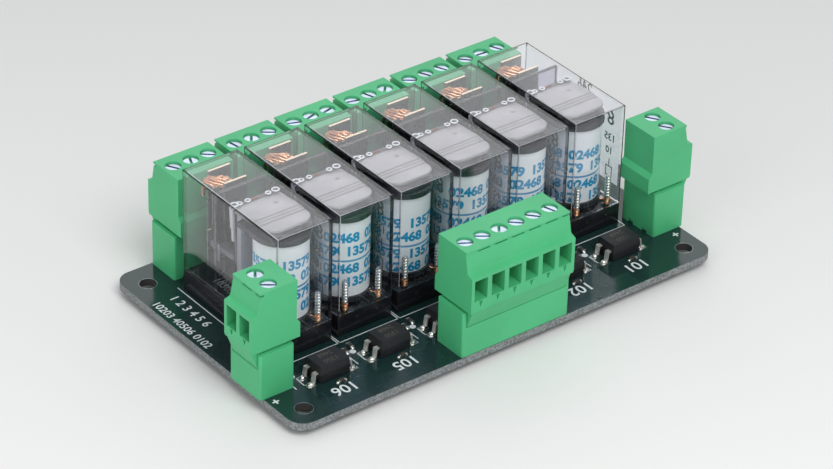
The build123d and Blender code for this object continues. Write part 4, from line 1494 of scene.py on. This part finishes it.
    def edge_lines(
        self, kind: str, finish: Finish, slot: Slot, line: Pair, drop: float, ends: Sequence[Ends],
    ) -> None:
        """Draw thin lines of painted shade or painted highlight inside some of the cover's edges.

        Args:
            kind: The piece's name before its number.
            finish: Its finish.
            slot: The record's material slot, passed on with the piece.
            line: How far inside the outer faces the lines run, and their width.
            drop: How far below the cover's top they run.
            ends: The two corners of each line, each low (0) or high (1) along X, Y and Z.
        """
        layout, (inset, width) = self.layout, line
        side, out = layout.relay_half - inset, Vector((width, width, width)) / 2
        across, along = (-side, side), (layout.relay_front + inset, layout.relay_back - inset)
        upward, lines = (layout.cover_foot + inset, layout.cover_top - drop), Shape()
        for pair in ends:
            first, last = (Vector((across[i], along[j], upward[k])) for i, j, k in pair)
            lines.block(first - out, last + out, place=self.origin())
        lines.finish(f"{kind}_{self.number}", "module", finish, slot)

    def winding_print(self) -> None:
        """Print plain numbers in rows round the winding."""
        shape, radius = Shape(), self.layout.coil_radius + self.ink_gap
        upright = Matrix.Translation((0.0, -radius, 0.0)) @ Matrix.Rotation(math.pi / 2, 4, "X")
        for row, level in enumerate(self.rows, start=1):
            height = Palette.tape.level(self.index) + level
            centre = Matrix.Translation((self.x, self.layout.coil_y, height))
            words = self.row_words[(row + self.index) % 2]
            for copy in range(self.row_copies):
                angle = 0.9 * self.index + (copy + 0.5 * (row % 2)) * math.tau / self.row_copies
                place = centre @ Matrix.Rotation(angle, 4, "Z") @ upright
                shape.text(words, self.row_height, place, bold=0.12, wrap=radius)
        shape.finish(f"winding_print_{self.number}", "module", Palette.ink_blue, closed=False)

    def wall_print(self) -> None:
        """Print plain numbers and the sign of a coil on the cover's right wall."""
        shape, coat = Shape(), self.layout.coat
        face = self.x + self.layout.relay_half + self.ink_gap
        upright = Matrix.Rotation(math.pi / 2, 4, "Z") @ Matrix.Rotation(math.pi / 2, 4, "X")
        for words, height, y, z in self.wall_rows:
            shape.text(words, height, Matrix.Translation((face, y, z)) @ upright, bold=0.05)
        for low, high in self.coil_sign:
            shape.block((face - coat, *low), (face + coat, *high))
        shape.finish(f"wall_print_{self.number}", "module", Palette.shade_and_print, closed=False)

    def posts(self) -> None:
        """Wrap the coil's posts in soldered wire, with the copper wire at their feet."""
        solder, wire = Shape(), Shape()
        across, y = self.post
        for side in (-1, 1):
            x = self.x + side * across
            foot, *size = self.solder_coil
            solder.coil((x, y, foot), *size)
            for level in self.solder_levels:
                solder.blob((x, y, level), self.solder_size)
            foot, *size = self.wire_coil
            wire.coil((x, y, foot), *size)
            path = [(x + 0.2, y + 0.4, 8.0), (x - side * 0.5, y + 1.2, 8.1), (x - side, y + 2.2, 8.8)]
            wire.sweep(path, self.wire_size, self.wire_size)
        solder.finish(f"post_solder_{self.number}", "module", Palette.solder, Slot.TINNED, sharp=60.0)
        wire.finish(f"post_wire_{self.number}", "module", Palette.copper, Slot.COPPER, sharp=60.0)

    def build(self) -> None:
        """Build the whole relay."""
        far, near, lid = self.far_shade_line, self.near_line, self.layout.lid + self.near_line[1] / 2
        dress([f"relay_cover_{self.number}"], Palette.clear)
        dress([f"relay_coil_{self.number}"], Palette.tape)
        self.base()
        self.smoky_barrier()
        self.armature()
        self.contact()
        self.winding_print()
        self.posts()
        # Dark bars of painted shade inside the far edges and pale bars of painted highlight inside the near
        # ones.
        self.edge_lines("cover_lines", Palette.shade_and_print, Slot.BLACK, far, far[0], self.far_shade_ends)
        self.edge_lines("cover_glints", Palette.highlight_white, Slot.CLEAR, near, lid, self.near_ends)
        self.wall_print()


@dataclass
class Magnets:
    """Bobbins, yokes, posts and fixed contacts of all relays."""

    looks: tuple[tuple[str, Finish], ...] = (
        ("relay_bobbins", Palette.bobbin),
        ("relay_yokes", Palette.yoke),
        ("coil_pins", Palette.tinned),
        ("rest_contacts", Palette.blade),
        ("work_contacts", Palette.blade),
        ("common_terminals", Palette.blade),
    )

    def build(self) -> None:
        """Dress the nodes of the frame."""
        for node, finish in self.looks:
            dress([node], finish)


@dataclass(frozen=True)
class Backdrop(Finish):
    """Pale floor painted lighter towards the viewer, a painted fall-off of the light."""

    far: Triple = (0.665, 0.66, 0.65)
    near: Triple = (0.97, 0.965, 0.955)
    away: Pair = (0.62, 0.78)
    reach: Pair = (-0.16, 0.20)

    def surface(self, tree: Tree) -> Socket:
        """Build the floor.

        Args:
            tree: The material's tree.

        Returns:
            The shader's output.
        """
        parts = tree.split(tree.place())
        back = tree.math("MULTIPLY", parts["Y"], self.away[1])
        depth = tree.math("MULTIPLY_ADD", parts["X"], self.away[0], back)
        # Painted fall-off of the light: the colour goes from near to far.
        colour = tree.mix(tree.ramp(depth, *self.reach, 0.0, 1.0), self.near, self.far)
        grain = self.grain(tree, 400.0, 6.0)
        rough = tree.ramp(grain["Grain"], 0.0, 1.0, self.roughness - 0.05, self.roughness + 0.05)
        return self.shader(tree, colour, rough, Specular_IOR_Level=0.0)


@dataclass
class Studio:
    """Camera, floor and soft lights."""

    eye: Triple = (-0.33821, -0.42273, 0.35737)
    right: Triple = (0.790594, -0.611855, 0.024377)
    down: Triple = (-0.314767, -0.440221, -0.840908)
    ahead: Triple = (0.525245, 0.657144, -0.540628)
    lens: float = 152.858
    sensor: float = 36.0
    sight: Pair = (0.01, 20.0)
    floor_half: float = 4.0
    sky: tuple[float, ...] = (0.95, 0.97, 1.0, 1.0)
    world: float = 0.5
    lamps: tuple[tuple[str, Triple, float, float], ...] = (
        ("key", (-0.10, -0.55, 0.75), 0.5, 4.2),
        ("side", (-0.80, -0.15, 0.35), 0.5, 1.3),
        ("back", (0.63, 0.79, 0.65), 1.0, 3.0),
    )

    def show(self, name: str, data: Any) -> bpy.types.Object:
        """Put an object into the scene.

        Args:
            name: Its name.
            data: Its camera, mesh or lamp.

        Returns:
            The object.
        """
        shown = bpy.data.objects.new(name, data)
        bpy.context.scene.collection.objects.link(shown)
        return shown

    def camera(self) -> None:
        """Place the camera at the photograph's angle."""
        data = bpy.data.cameras.new("camera")
        data.lens, data.sensor_width, data.sensor_fit = self.lens, self.sensor, "HORIZONTAL"
        data.clip_start, data.clip_end = self.sight
        camera = self.show("camera", data)
        up, back = -Vector(self.down), -Vector(self.ahead)
        turn = Matrix((Vector(self.right), up, back)).transposed()
        camera.matrix_world = Matrix.Translation(self.eye) @ turn.to_4x4()
        bpy.context.scene.camera = camera

    def floor(self) -> None:
        """Lay the pale floor."""
        mesh, data = bmesh.new(), bpy.data.meshes.new("floor")
        bmesh.ops.create_grid(mesh, x_segments=4, y_segments=4, size=self.floor_half)
        mesh.to_mesh(data)
        mesh.free()
        data.materials.append(Backdrop("floor_pale", (0.8, 0.8, 0.8), 0.9).material())
        floor = self.show("floor", data)

    def light(self) -> None:
        """Set the soft lamps and the pale surroundings."""
        world = bpy.data.worlds.new("surroundings")
        world.use_nodes = True
        inputs = world.node_tree.nodes["Background"].inputs
        inputs["Color"].default_value, inputs["Strength"].default_value = self.sky, self.world
        bpy.context.scene.world = world
        for name, place, size, power in self.lamps:
            data = bpy.data.lights.new(name, "AREA")
            data.shape, data.size, data.energy = "SQUARE", size, power
            turn = (-Vector(place)).to_track_quat("-Z", "Y").to_matrix().to_4x4()
            self.show(name, data).matrix_world = Matrix.Translation(place) @ turn

    def build(self) -> None:
        """Build the studio."""
        self.camera()
        self.floor()
        self.light()
        bpy.context.scene.view_settings.view_transform = "Standard"


def main() -> None:
    """Build every sub-assembly in order and report each piece."""
    logging.basicConfig(level=logging.INFO, format="%(message)s")
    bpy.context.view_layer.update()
    layout = Layout()
    parts: dict[str, Any] = {
        "board": BoardPrint(layout),
        "terminals": Terminals(layout),
        "optocouplers": Optocouplers(layout),
        "magnets": Magnets(),
    }
    parts |= {f"relay {layout.number(index)}": Relay(layout, index) for index in range(layout.count)}
    for name, part in parts.items():
        known = set(bpy.data.objects.keys())
        part.build()
        pieces = sorted(set(bpy.data.objects.keys()) - known)
        LOG.info("%s: %s", name, ", ".join(pieces) or "dressed")
    Studio().build()


if __name__ == "__main__":
    main()
